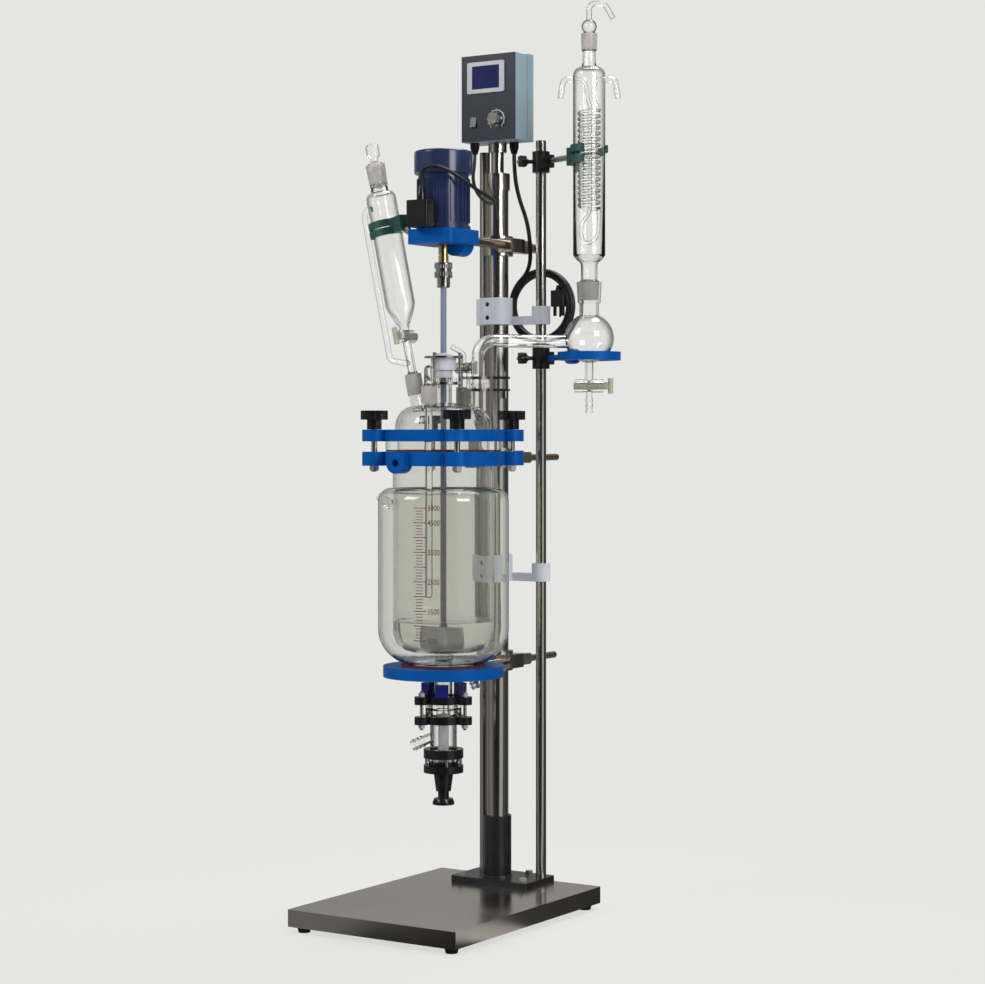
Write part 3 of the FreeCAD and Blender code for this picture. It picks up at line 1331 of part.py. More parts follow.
def control_box():
    x0 = column_x - box_width / 2
    x1 = column_x + box_width / 2
    y0 = column_y - box_depth / 2
    y1 = column_y + box_depth / 2
    z0 = box_bottom
    z1 = box_bottom + box_height
    step = box_cover_step
    rx = x0 + rocker_across
    rz = z0 + rocker_up
    shell = rounded_block(x0, x1, y0 + panel_thick, y1 - box_cover_depth, z0, z1, 2.0)
    shell = shell.cut(block(rx - rocker_width / 2 - 0.4, rx + rocker_width / 2 + 0.4, y0, y0 + rocker_pocket,
                            rz - rocker_height / 2 - 1, rz + rocker_height / 2 + 1))
    keep("control_box", shell)
    cover = rounded_block(x0 - step, x1 + step, y1 - box_cover_depth, y1, z0 - step + 1.5, z1 + step, 4.0)
    keep("control_box", cover)
    panel = block(x0, x1, y0, y0 + panel_thick, z0, z1)
    window = block(rx - rocker_width / 2 - 0.4, rx + rocker_width / 2 + 0.4, y0 - 1, y0 + panel_thick + 1,
                   rz - rocker_height / 2 - 0.4, rz + rocker_height / 2 + 0.4)
    panel = panel.cut(window)
    keep("control_panel", panel)
    bx = column_x - 4.0
    bz = z1 - bezel_below_top - bezel_height / 2
    bezel = rounded_frame(bx, bz, bezel_width, bezel_height, y0 - bezel_thick, y0)
    recess = block(bx - display_width / 2, bx + display_width / 2, y0 - 10, y0 - display_back,
                   bz - display_height / 2, bz + display_height / 2)
    keep("display_bezel", bezel.cut(recess))
    kx = x0 + speed_knob_across
    kz = z0 + speed_knob_up
    knob = bar(speed_knob_radius, vec(kx, y0 - speed_knob_depth, kz), vec(kx, y0 - 3, kz))
    skirt = Part.makeCone(speed_knob_radius, speed_knob_radius + 3, 3 - 0.3, vec(kx, y0 - 3, kz), vec(0, 1, 0))
    knob = fuse([knob, skirt])
    for i in range(14):
        a = 2 * math.pi * i / 14
        px = kx + (speed_knob_radius + 0.4) * math.cos(a)
        pz = kz + (speed_knob_radius + 0.4) * math.sin(a)
        knob = knob.cut(bar(1.1, vec(px, y0 - speed_knob_depth - 1, pz), vec(px, y0 - 4, pz)))
    keep("speed_knob", knob)
    points = [vec(0, -4.2, -rocker_height / 2 + 0.5), vec(0, -1.6, 0), vec(0, -0.8, rocker_height / 2 - 0.5),
              vec(0, panel_thick - 0.2, rocker_height / 2 - 0.5), vec(0, panel_thick - 0.2, -rocker_height / 2 + 0.5)]
    rocker = Part.Face(Part.makePolygon(points + [points[0]])).extrude(vec(rocker_width, 0, 0))
    rocker.translate(vec(rx - rocker_width / 2, y0, rz))
    pivot = bar(rocker_pivot, vec(rx - rocker_width, y0 + 0.8, rz), vec(rx + rocker_width, y0 + 0.8, rz))
    rocker = rocker.cut(pivot)
    keep("power_switch", rocker)
    places = [(power_gland_x, power_gland_y), (signal_gland_x, signal_gland_y)]
    for name, (gx, gy), dia in (("power_gland", places[0], power_cable), ("signal_gland", places[1], motor_cable)):
        gland = fuse([cyl(gland_radius, z0 - 9, z0, gx, gy), cone(5.0, gland_radius, z0 - gland_length, z0 - 9, gx, gy)])
        gland = gland.cut(cyl(dia / 2 + slip, z0 - gland_length - 1, z0 - gland_length + 6, gx, gy))
        keep("cable_glands", gland)


def rounded_frame(x, z, width, height, y0, y1):
    solid = block(x - width / 2, x + width / 2, y0, y1, z - height / 2, z + height / 2)
    edges = [e for e in solid.Edges if abs(e.Vertexes[0].Y - e.Vertexes[1].Y) > 0.5 * (y1 - y0)]
    return solid.makeFillet(3.0, edges)


power_gland_x = 12.0
power_gland_y = 188.0
signal_gland_x = -50.0
signal_gland_y = 158.0
power_cable = 7.0
coil_ring_radius = 60.0
coil_bundle = 8.0
cord_coil_x = 54.0
cord_coil_y = right_rod_y + rod_radius + coil_bundle + 1.0
cord_coil_z = 1036.0


def power_plug():
    """A mains plug that hangs from the coiled cord, with three flat pins."""
    a = math.radians(48)
    x = cord_coil_x + (coil_ring_radius - coil_bundle) * math.cos(a)
    z = cord_coil_z + (coil_ring_radius - coil_bundle) * math.sin(a)
    y = cord_coil_y
    top = z - 4
    body = rounded_block(x - 14, x + 14, y - 8, y + 8, top - 36, top - 8, 5.0)
    relief = cone(7, 4, top - 9, top + 1, x, y)
    pins = [block(x + dx - 3, x + dx + 3, y - 0.9, y + 0.9, top - 52, top - 35) for dx in (-8, 8)]
    pins.append(block(x - 0.9, x + 0.9, y + 2, y + 6, top - 54, top - 35))
    plug = fuse([body, relief] + pins)
    ring = Part.makeTorus(coil_ring_radius, coil_bundle, vec(cord_coil_x, cord_coil_y, cord_coil_z), vec(0, 1, 0))
    return plug.cut(ring)


def cables(terminal_exit):
    z0 = box_bottom - gland_length + 6
    a = math.radians(118)
    end = (cord_coil_x + (coil_ring_radius) * math.cos(a), cord_coil_y, cord_coil_z + coil_ring_radius * math.sin(a))
    power = [
        (power_gland_x, power_gland_y, z0),
        (power_gland_x, power_gland_y, 1268.0),
        (18.0, 193.0, 1226.0),
        (32.0, 199.0, 1184.0),
        (37.0, 201.0, 1144.0),
        (34.0, 206.0, 1112.0),
        end,
    ]
    cord = cord_tube(power, power_cable, "power_cord")
    ring = Part.makeTorus(coil_ring_radius, coil_bundle, vec(cord_coil_x, cord_coil_y, cord_coil_z), vec(0, 1, 0))
    keep("power_cord", cord.cut(ring))
    keep("power_cord_coil", ring)
    keep("power_plug", power_plug())
    t = terminal_exit
    signal = [
        (t.x, t.y, t.z),
        (t.x, t.y, t.z + 30),
        (22.0, -100.0, t.z + 44),
        (48.0, -90.0, t.z + 42),
        (72.0, -68.0, t.z + 24),
        (83.0, -36.0, t.z + 5),
        (80.0, 8.0, t.z - 3),
        (58.0, 58.0, t.z - 6),
        (16.0, 96.0, t.z - 2),
        (-24.0, 124.0, t.z + 20),
        (-46.0, 144.0, t.z + 48),
        (signal_gland_x, signal_gland_y, t.z + 76),
        (signal_gland_x, signal_gland_y, z0),
    ]
    keep("motor_cable", cord_tube(signal, motor_cable, "motor_cable"))


def main():
    base()
    column()
    brackets()
    column_clamps()
    clamp_rings()
    jacketed_vessel()
    lid()
    stirring_seal()
    terminal_exit = drive()
    stirrer()
    support_ring()
    drain_valve()
    thermowell()
    vent_valve()
    funnel_support(funnel())
    receiver()
    towards, side = receiver_support()
    clamp_knobs(towards)
    condenser()
    condenser_support()
    control_box()
    cables(terminal_exit)
    write_parts()


main()
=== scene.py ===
"""The looks of a jacketed glass reactor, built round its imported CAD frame."""
import math

import bpy
from mathutils import Matrix, Vector


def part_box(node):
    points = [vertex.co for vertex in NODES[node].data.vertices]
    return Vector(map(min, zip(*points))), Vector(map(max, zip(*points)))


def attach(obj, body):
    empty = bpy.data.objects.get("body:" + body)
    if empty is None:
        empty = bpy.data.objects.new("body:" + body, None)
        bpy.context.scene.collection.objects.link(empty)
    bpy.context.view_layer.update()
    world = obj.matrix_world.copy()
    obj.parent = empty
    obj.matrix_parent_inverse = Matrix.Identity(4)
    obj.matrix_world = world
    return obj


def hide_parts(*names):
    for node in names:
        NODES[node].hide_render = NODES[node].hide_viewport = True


bl_info = {
    "name": "Jacketed Glass Reactor",
    "version": (1, 0, 0),
    "blender": (4, 5, 0),
    "location": "3D View > Sidebar > Reactor",
    "description": "Dresses the reactor's CAD frame and sets its studio",
    "category": "Object",
}

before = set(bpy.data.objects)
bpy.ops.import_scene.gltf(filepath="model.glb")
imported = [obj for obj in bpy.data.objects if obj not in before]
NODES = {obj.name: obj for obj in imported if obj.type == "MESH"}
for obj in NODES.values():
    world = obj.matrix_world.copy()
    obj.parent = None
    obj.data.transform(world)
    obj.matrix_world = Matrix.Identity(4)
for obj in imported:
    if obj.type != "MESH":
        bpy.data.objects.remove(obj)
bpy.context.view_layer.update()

UP = Vector((0.0, 0.0, 1.0))

# Axis of the vessel, from the frame
SHAFT_LOW, SHAFT_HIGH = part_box("stirrer_shaft")
AXIS = (SHAFT_LOW + SHAFT_HIGH) / 2
# The display's frame and the depth of the control box's front panel, from the frame
BEZEL_LOW, BEZEL_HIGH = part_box("display_bezel")
PANEL_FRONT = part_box("control_panel")[0].y

# Where the dropping funnel leans from, and its lean in degrees
FUNNEL_FOOT = Vector((-0.031, -0.037, 0.845))
FUNNEL_TILT = 12.3
# The upright axis of the receiver and the condenser above it
CONDENSER_AXIS = Vector((0.1938, 0.1364, 0.0))
# Axes of the two glass bodies that finger clamps hold, and how far their palms reach
HELD_GLASS = (Vector((-0.0992, -0.037)), CONDENSER_AXIS.xy)
PALM_REACH = 0.052
# The support ring's stand-offs end at this height
STAND_OFF_TOP = 0.405
# The bracket screws lie between these two depths, above this height
BRACKET_SCREWS = (0.13, 0.16)
BRACKET_SCREWS_FOOT = 0.5

# The photograph's view
VIEW_AZIMUTH = math.radians(32.9)
CAMERA_PLACE = Vector((2.225, -3.302, 0.810))
CAMERA_LENS = 86.9
CAMERA_SHIFT = -0.0563
TOWARD_CAMERA = Vector((math.sin(VIEW_AZIMUTH), -math.cos(VIEW_AZIMUTH), 0.0))
TOWARD_RIGHT = Vector((math.cos(VIEW_AZIMUTH), math.sin(VIEW_AZIMUTH), 0.0))

# Where the soft lights look
MIDDLE = Vector((0.05, 0.0, 0.75))
# Strength of the even light
AMBIENT = 0.54
# Warmth of the panels that reflections show, as shares of green and blue
PANEL_GREEN = 0.985
PANEL_BLUE = 0.95
# Bright and dark panels of the studio as reflections show them: bearing in degrees from +X, and level
PANELS = ((-180, 0.18), (-160, 0.12), (-150, 0.25), (-112, 0.17), (-98, 0.04), (-62, 0.012), (-34, 0.03),
          (-26, 0.55), (2, 0.48), (10, 0.06), (60, 0.04), (96, 0.14), (122, 0.36), (150, 0.20), (179, 0.18))


def colour_prop(name, description, default):
    return bpy.props.FloatVectorProperty(
        name=name, description=description, subtype="COLOR", size=3, min=0.0, max=1.0, default=default)


def length_prop(name, description, default):
    return bpy.props.FloatProperty(
        name=name, description=description, subtype="DISTANCE", unit="LENGTH", min=0.0, default=default)


class ReactorColours(bpy.types.PropertyGroup):
    """Colours of the reactor's finishes."""
    steel: colour_prop("Stainless steel", "Column, its clamps and the side rods", (0.60, 0.57, 0.52))
    bright: colour_prop("Turned steel", "Screws, clamp arms and speed knob", (0.72, 0.71, 0.69))
    blue: colour_prop("Blue anodising", "Clamp rings, motor plate and support rings", (0.0, 0.088, 0.37))
    navy: colour_prop("Motor paint", "Motor housing and its fan cover", (0.019, 0.032, 0.086))
    panel: colour_prop("Front panel", "Front of the control box", (0.010, 0.014, 0.030))
    case: colour_prop("Case paint", "Sides and back of the control box", (0.28, 0.37, 0.43))
    bracket: colour_prop("White plastic", "Rod brackets", (0.56, 0.59, 0.66))
    black: colour_prop("Black plastic", "Knobs, flanges and covers", (0.008, 0.008, 0.009))
    fluor: colour_prop("Fluoropolymer", "Seal body and valve stem", (0.60, 0.59, 0.66))
    shaft: colour_prop("Coated shaft", "Stirrer shaft", (0.20, 0.215, 0.30))
    rubber: colour_prop("Silicone", "Gaskets under the flange and the jacket", (0.15, 0.020, 0.020))
    glass: colour_prop("Glass", "Tint of the small glass bodies", (0.985, 0.985, 0.975))
    # The vessel's tint is partly the glass's own and partly painted shade: darker than the small glass to
    # stand for the grey seen through the jacket's walls.
    vessel: colour_prop("Vessel glass", "Tint of the vessel and its lid", (0.87, 0.87, 0.84))
    print_red: colour_prop("Scale print", "Ticks and numbers on the vessel", (0.24, 0.030, 0.022))
    clamp: colour_prop("Clamp coating", "Dipped coating of the finger clamps", (0.012, 0.070, 0.055))


class ReactorSizes(bpy.types.PropertyGroup):
    """Sizes that the looks add to the frame."""
    liquid_level: length_prop("Liquid level", "Height of the liquid above the floor", 0.506)
    scale_step: length_prop("Scale step", "Height of one 500 ml step of the printed scale", 0.02402)
    scale_foot: length_prop("Scale foot", "Height of the 500 ml mark", 0.4778)
    digit_height: length_prop("Digit height", "Height of the printed numbers", 0.0095)
    coil_tube: length_prop("Coil tube", "Radius of the condenser's coil tube", 0.003)


class ReactorStage(bpy.types.PropertyGroup):
    """The studio round the reactor."""
    backdrop: colour_prop("Backdrop", "Colour of the background and floor", (0.785, 0.792, 0.768))
    key_power: bpy.props.FloatProperty(
        name="Key light", description="Power of the large light on the left", unit="POWER", default=90.0)
    fill_power: bpy.props.FloatProperty(
        name="Fill light", description="Power of the large light on the right", unit="POWER", default=95.0)


def colours():
    return bpy.context.scene.reactor_colours


def sizes():
    return bpy.context.scene.reactor_sizes


# Materials


def ramp_of(tree, source, stops):
    """A colour ramp with these (position, colour) stops, as a colour socket."""
    made = tree.nodes.new("ShaderNodeValToRGB")
    elements = made.color_ramp.elements
    while len(elements) < len(stops):
        elements.new(0.5)
    for element, (at, colour) in zip(elements, stops):
        element.position = at
        element.color = (*colour, 1.0)
    tree.links.new(source, made.inputs["Fac"])
    return made.outputs["Color"]


class Finish:
    """A material with its Principled shader and short ways to add detail."""

    def __init__(self, name, colour, roughness=0.5, metallic=0.0):
        self.material = bpy.data.materials.new(name)
        self.material.use_nodes = True
        self.tree = self.material.node_tree
        self.shader = self.tree.nodes["Principled BSDF"]
        self.set("Base Color", (*colour, 1.0))
        self.set("Roughness", roughness)
        self.set("Metallic", metallic)
        self.colour = colour
        self.roughness = roughness

    def set(self, socket, value):
        self.shader.inputs[socket].default_value = value
        return self

    def node(self, kind, **values):
        made = self.tree.nodes.new(kind)
        for key, value in values.items():
            made.inputs[key.replace("_", " ")].default_value = value
        return made

    def link(self, start, end):
        self.tree.links.new(start, end)

    def place(self, stretch=(1.0, 1.0, 1.0)):
        coords = self.tree.nodes.new("ShaderNodeTexCoord")
        mapping = self.tree.nodes.new("ShaderNodeMapping")
        mapping.inputs["Scale"].default_value = stretch
        self.link(coords.outputs["Object"], mapping.inputs["Vector"])
        return mapping.outputs["Vector"]

    def noise(self, scale, detail=3.0, stretch=(1.0, 1.0, 1.0)):
        made = self.node("ShaderNodeTexNoise", Scale=scale, Detail=detail)
        self.link(self.place(stretch), made.inputs["Vector"])
        return made.outputs["Fac"]

    def spread(self, source, low, high):
        """A value from low to high over the middle of a noise."""
        made = self.node("ShaderNodeMapRange", From_Min=0.3, From_Max=0.7, To_Min=low, To_Max=high)
        self.link(source, made.inputs["Value"])
        return made.outputs["Result"]

    def mottle(self, scale, change=0.12, stretch=(1.0, 1.0, 1.0)):
        """Colour that varies a little over the surface."""
        darker = tuple(c * (1.0 - change) for c in self.colour)
        lighter = tuple(min(1.0, c * (1.0 + change)) for c in self.colour)
        tint = ramp_of(self.tree, self.noise(scale, 4.0, stretch), [(0.3, darker), (0.7, lighter)])
        self.link(tint, self.shader.inputs["Base Color"])
        return self

    def smudge(self, scale, change=0.08, stretch=(1.0, 1.0, 1.0)):
        """Roughness that varies, as on handled metal."""
        low = max(0.0, self.roughness - change)
        high = self.roughness + change
        self.link(self.spread(self.noise(scale, 5.0, stretch), low, high), self.shader.inputs["Roughness"])
        return self

    def grain(self, scale, strength=0.1, depth=0.0003, stretch=(1.0, 1.0, 1.0)):
        bump = self.node("ShaderNodeBump", Strength=strength, Distance=depth)
        self.link(self.noise(scale, 4.0, stretch), bump.inputs["Height"])
        self.link(bump.outputs["Normal"], self.shader.inputs["Normal"])
        return self


FINISHES = {}


def finish(name, build):
    """A finish that is made once and shared."""
    if name not in FINISHES:
        FINISHES[name] = build()
    return FINISHES[name].material


def plain(name, colour, roughness, metallic=0.0, mottle=None, smudge=None, grain=None, sockets=None):
    """A finish from one colour, with the arguments of its mottle, smudge and grain."""
    def build():
        made = Finish(name, colour, roughness, metallic)
        for socket, value in (sockets or {}).items():
            made.set(socket, value)
        for add, values in ((made.mottle, mottle), (made.smudge, smudge), (made.grain, grain)):
            if values:
                add(*values)
        return made
    return finish(name, build)


def steel():
    return plain("stainless", colours().steel, 0.16, 1.0, mottle=(3.0, 0.10, (1, 1, 0.2)),
                 smudge=(9.0, 0.05, (1, 1, 0.1)), grain=(420.0, 0.05, 0.0002, (1, 1, 0.02)))


def tray_steel():
    return plain("tray_sheet", (0.58, 0.54, 0.50), 0.20, 1.0, mottle=(4.0, 0.12, (1, 0.3, 1)),
                 smudge=(6.0, 0.07), grain=(700.0, 0.08, 0.0002, (1, 0.02, 1)))


def bright_steel():
    return plain("turned_steel", colours().bright, 0.18, 1.0, smudge=(60.0, 0.06),
                 grain=(900.0, 0.06, 0.0001))


# Stainless steel whose warm colour is a painted reflection of warm surroundings.
def warm_steel():
    return plain("warm_steel", (0.86, 0.75, 0.56), 0.20, 1.0, mottle=(40.0, 0.12), smudge=(50.0, 0.08),
                 grain=(900.0, 0.08, 0.0001))


def dark_steel():
    return plain("dark_steel", (0.52, 0.51, 0.50), 0.18, 1.0, mottle=(90.0, 0.15), smudge=(60.0, 0.08),
                 grain=(900.0, 0.15, 0.0001))


def brass():
    return plain("brass", (0.84, 0.62, 0.36), 0.24, 1.0, mottle=(60.0, 0.15), smudge=(60.0, 0.08),
                 grain=(1500.0, 0.1, 0.0001, (0.1, 0.1, 1)))


def blue():
    return plain("blue_anodising", colours().blue, 0.40, 0.25, mottle=(18.0, 0.10), smudge=(25.0, 0.08),
                 grain=(1200.0, 0.10, 0.0001), sockets={"Specular IOR Level": 0.12})


def deep_blue():
    return plain("deep_blue", (0.0, 0.004, 0.22), 0.35, mottle=(30.0, 0.1), smudge=(30.0, 0.06),
                 grain=(900.0, 0.08, 0.0001))


def navy():
    return plain("motor_paint", colours().navy, 0.17, mottle=(30.0, 0.15), smudge=(30.0, 0.06),
                 grain=(900.0, 0.15, 0.0001))


def panel_paint():
    return plain("panel_paint", colours().panel, 0.30, mottle=(25.0, 0.2), grain=(1500.0, 0.08, 0.0001))


def case_paint():
    return plain("case_paint", colours().case, 0.42, mottle=(20.0, 0.06), grain=(1100.0, 0.25, 0.0001))


def white_plastic():
    return plain("white_plastic", colours().bracket, 0.42, mottle=(14.0, 0.05), smudge=(20.0, 0.06),
                 grain=(500.0, 0.08, 0.0002))


def silver_plastic():
    return plain("silver_plastic", (0.42, 0.45, 0.47), 0.35, 0.4, mottle=(30.0, 0.06),
                 grain=(1500.0, 0.08, 0.0001))


def black_plastic():
    return plain("black_plastic", colours().black, 0.20, mottle=(40.0, 0.3), smudge=(30.0, 0.08),
                 grain=(900.0, 0.12, 0.0002), sockets={"Specular IOR Level": 0.42})


def black_coating():
    return plain("black_coating", (0.012, 0.012, 0.014), 0.30, mottle=(30.0, 0.3),
                 grain=(650.0, 0.35, 0.0003))


def rubber():
    return plain("foot_rubber", (0.012, 0.012, 0.012), 0.7, mottle=(30.0, 0.3), grain=(500.0, 0.3, 0.0003))


def cable_sheath():
    return plain("cable_sheath", (0.012, 0.012, 0.013), 0.42, mottle=(60.0, 0.3), grain=(700.0, 0.1, 0.0002))


def silicone():
    return plain("red_silicone", colours().rubber, 0.55, mottle=(40.0, 0.15), grain=(400.0, 0.1, 0.0002))


def fluoropolymer():
    return plain("fluoropolymer", colours().fluor, 0.45, mottle=(35.0, 0.06), smudge=(30.0, 0.08),
                 grain=(600.0, 0.08, 0.0002), sockets={"Subsurface Weight": 0.15})


def shaft_coat():
    return plain("shaft_coat", colours().shaft, 0.30, mottle=(30.0, 0.08, (1, 1, 0.2)), smudge=(30.0, 0.06),
                 grain=(400.0, 0.05, 0.0002))


# The paddle's pale coating, its colour raised as painted light for the lamp light that the glass round it
# blocks.
def paddle_coat():
    return plain("paddle_coat", (0.90, 0.93, 0.97), 0.35, mottle=(25.0, 0.06), smudge=(30.0, 0.06),
                 grain=(400.0, 0.06, 0.0002))


def clamp_coat():
    return plain("clamp_coating", colours().clamp, 0.40, mottle=(30.0, 0.25), grain=(300.0, 0.2, 0.0004))


def ground_glass():
    return plain("ground_glass", (0.62, 0.575, 0.545), 0.5, mottle=(90.0, 0.08), grain=(1400.0, 0.3, 0.0001),
                 sockets={"IOR": 1.3, "Alpha": 0.50})


def valve_glass():
    return plain("valve_glass", (0.56, 0.52, 0.42), 0.35, mottle=(90.0, 0.08), grain=(1200.0, 0.2, 0.0001),
                 sockets={"Transmission Weight": 0.35, "IOR": 1.45, "Alpha": 0.92})


def scale_print():
    return plain("scale_print", colours().print_red, 0.55, mottle=(300.0, 0.2), grain=(900.0, 0.1, 0.0001))


def white_print():
    return plain("white_print", (0.75, 0.76, 0.76), 0.5, mottle=(200.0, 0.05), grain=(900.0, 0.1, 0.0001))


def display_face():
    return plain("display_face", (0.006, 0.010, 0.085), 0.12, mottle=(40.0, 0.25),
                 sockets={"Coat Weight": 0.6, "Coat Roughness": 0.05})


def clear(name, tint, edge, ior=1.47, steps=(0.55, 0.80, 0.93)):
    """Glass or liquid that is clear face on, with painted shade that darkens its colour towards its edges.
    """
    def build():
        made = Finish(name, tint, 0.0)
        made.set("Transmission Weight", 1.0).set("IOR", ior)
        facing = made.tree.nodes.new("ShaderNodeLayerWeight")
        facing.inputs["Blend"].default_value = 0.5
        middle = tuple((t + e) / 2 for t, e in zip(tint, edge))
        stops = zip((0.0, *steps), (tint, tint, middle, edge))
        # The edge colour is painted shade: the ramp darkens the glass where its surface turns away from the
        # view.
        shade = ramp_of(made.tree, facing.outputs["Facing"], list(stops))
        made.link(shade, made.shader.inputs["Base Color"])
        return made
    return finish(name, build)


def glass():
    return clear("clear_glass", tuple(colours().glass), (0.015, 0.018, 0.014), steps=(0.28, 0.56, 0.80))


def thin_glass():
    """A thin tube's glass, which shows mostly as its painted dark outline."""
    return clear("thin_glass", tuple(colours().glass), (0.0, 0.002, 0.0), steps=(0.10, 0.34, 0.60))


def vessel_glass():
    # Its darker tint is partly painted shade of the jacket's interior.
    return clear("vessel_glass", tuple(colours().vessel), (0.05, 0.055, 0.045))


def liquid():
    return clear("clear_liquid", (1.0, 1.0, 0.995), (0.90, 0.92, 0.90), 1.33)


# Shapes


def put(obj, body, material, smooth=None):
    """Gives a piece its finish and its body."""
    if material:
        obj.data.materials.clear()
        obj.data.materials.append(material)
    if smooth:
        soften(obj, smooth)
    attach(obj, body)
    return obj


def soften(obj, angle=35.0):
    """Smooth shading between faces that meet at less than an angle."""
    for polygon in obj.data.polygons:
        polygon.use_smooth = True
    same_place = 0.000002
    weld = obj.modifiers.new("weld", "WELD")
    weld.merge_threshold = same_place
    split = obj.modifiers.new("edges", "EDGE_SPLIT")
    split.split_angle = math.radians(angle)


def mesh_object(name, verts, faces):
    mesh = bpy.data.meshes.new(name)
    mesh.from_pydata([tuple(v) for v in verts], [], faces)
    mesh.validate()
    mesh.update()
    obj = bpy.data.objects.new(name, mesh)
    bpy.context.scene.collection.objects.link(obj)
    return obj


def lathe(name, outline, place, segments=96):
    """Turns a closed outline of (radius, height) points about the upright line through a place."""
    verts = []
    rings = []
    on_axis = 1e-7
    for r, z in outline:
        if r < on_axis:
            rings.append([len(verts)] * segments)
            verts.append(Vector((place.x, place.y, z)))
            continue
        rings.append(list(range(len(verts), len(verts) + segments)))
        for k in range(segments):
            a = 2 * math.pi * k / segments
            verts.append(Vector((place.x + r * math.cos(a), place.y + r * math.sin(a), z)))
    faces = []
    for i, ring in enumerate(rings):
        following = rings[(i + 1) % len(rings)]
        for k in range(segments):
            n = (k + 1) % segments
            face = [ring[k], ring[n], following[n], following[k]]
            face = [v for j, v in enumerate(face) if v not in face[:j]]
            if len(face) > 2:
                faces.append(face)
    return mesh_object(name, verts, faces)


def rounded(points, times=2):
    """A path with its corners cut again and again, its ends kept."""
    for _ in range(times):
        cut = [points[0]]
        for p, q in zip(points, points[1:]):
            cut += [p * 0.75 + q * 0.25, p * 0.25 + q * 0.75]
        points = cut + [points[-1]]
    return points


def sweep(name, points, radius, sides=14):
    """A round tube along points, with closed ends."""
    points = [Vector(p) for p in points]
    verts = []
    faces = []
    along = (points[1] - points[0]).normalized()
    across = along.orthogonal().normalized()
    for i, p in enumerate(points):
        before = points[max(i - 1, 0)]
        after = points[min(i + 1, len(points) - 1)]
        new_along = (after - before).normalized()
        across = along.rotation_difference(new_along) @ across
        along = new_along
        other = along.cross(across)
        for k in range(sides):
            a = 2 * math.pi * k / sides
            verts.append(p + (across * math.cos(a) + other * math.sin(a)) * radius)
    for i in range(len(points) - 1):
        for k in range(sides):
            n = (k + 1) % sides
            faces.append([i * sides + k, i * sides + n, (i + 1) * sides + n, (i + 1) * sides + k])
    faces.append(list(range(sides))[::-1])
    faces.append([(len(points) - 1) * sides + k for k in range(sides)])
    return mesh_object(name, verts, faces)


def sleeve(name, place, low, high, foot, rim):
    """A thin band round a ground joint, open at both ends."""
    thick = 0.0002
    outline = [(foot, low), (rim, high), (rim - thick, high), (foot - thick, low)]
    return lathe(name, outline, place, 72)


def dress(names, material, angle=30.0):
    """Gives CAD nodes a finish and smooth shading."""
    for name in names:
        obj = NODES[name]
        obj.data.materials.clear()
        obj.data.materials.append(material)
        soften(obj, angle)


def repaint(name, material, wanted):
    """Gives the faces of a node that a test picks out a second finish."""
    obj = NODES[name]
    obj.data.materials.append(material)
    for polygon in obj.data.polygons:
        if wanted(obj.matrix_world @ polygon.center):
            polygon.material_index = 1


class ReactorOperator(bpy.types.Operator):
    """Shared part of the reactor's operators."""
    bl_options = {"REGISTER", "UNDO"}


class REACTOR_OT_stand(ReactorOperator):
    """Dress the tray, column, rods, brackets and feet"""
    bl_idname = "reactor.stand"
    bl_label = "Stand"

    def execute(self, context):
        dress(["base_tray"], tray_steel())
        dress(["column_tubes", "column_collars", "side_rods"], steel())
        dress(["rubber_feet"], rubber())
        dress(["column_socket"], black_coating())
        dress(["rod_brackets"], white_plastic())
        dress(["steel_fasteners"], bright_steel())
        repaint("steel_fasteners", black_plastic(), self.is_bracket_screw)
        return {"FINISHED"}

    def is_bracket_screw(self, at):
        near, far = BRACKET_SCREWS
        return near < at.y < far and at.z > BRACKET_SCREWS_FOOT


class REACTOR_OT_supports(ReactorOperator):
    """Dress the clamps, rings, plates and rods that carry the glass"""
    bl_idname = "reactor.supports"
    bl_label = "Supports"

    def execute(self, context):
        dress(["clamp_ring_upper", "clamp_ring_lower", "support_ring"], blue())
        dress(["receiver_plate", "motor_plate"], blue())
        repaint("support_ring", deep_blue(), lambda at: at.z < STAND_OFF_TOP)
        dress(["column_clamps"], steel())
        # The support rods' warm colour is a painted reflection.
        dress(["support_rods"], warm_steel())
        dress(["joint_clamps"], dark_steel())
        dress(["boss_heads"], black_coating())
        dress(["finger_clamps"], clamp_coat())
        repaint("finger_clamps", bright_steel(), self.is_arm)
        dress(["receiver_boss_knob", "condenser_boss_knob"], black_plastic())
        dress(["flange_knob_1", "flange_knob_2", "flange_knob_3", "flange_knob_4"], black_plastic())
        dress(["silicone_gaskets"], silicone())
        dress(["drain_flanges", "valve_housing", "valve_knob"], black_plastic())
        return {"FINISHED"}

    def is_arm(self, at):
        """The finger clamps' arms are bare steel, their fingers are coated."""
        return min((at.xy - place).length for place in HELD_GLASS) > PALM_REACH


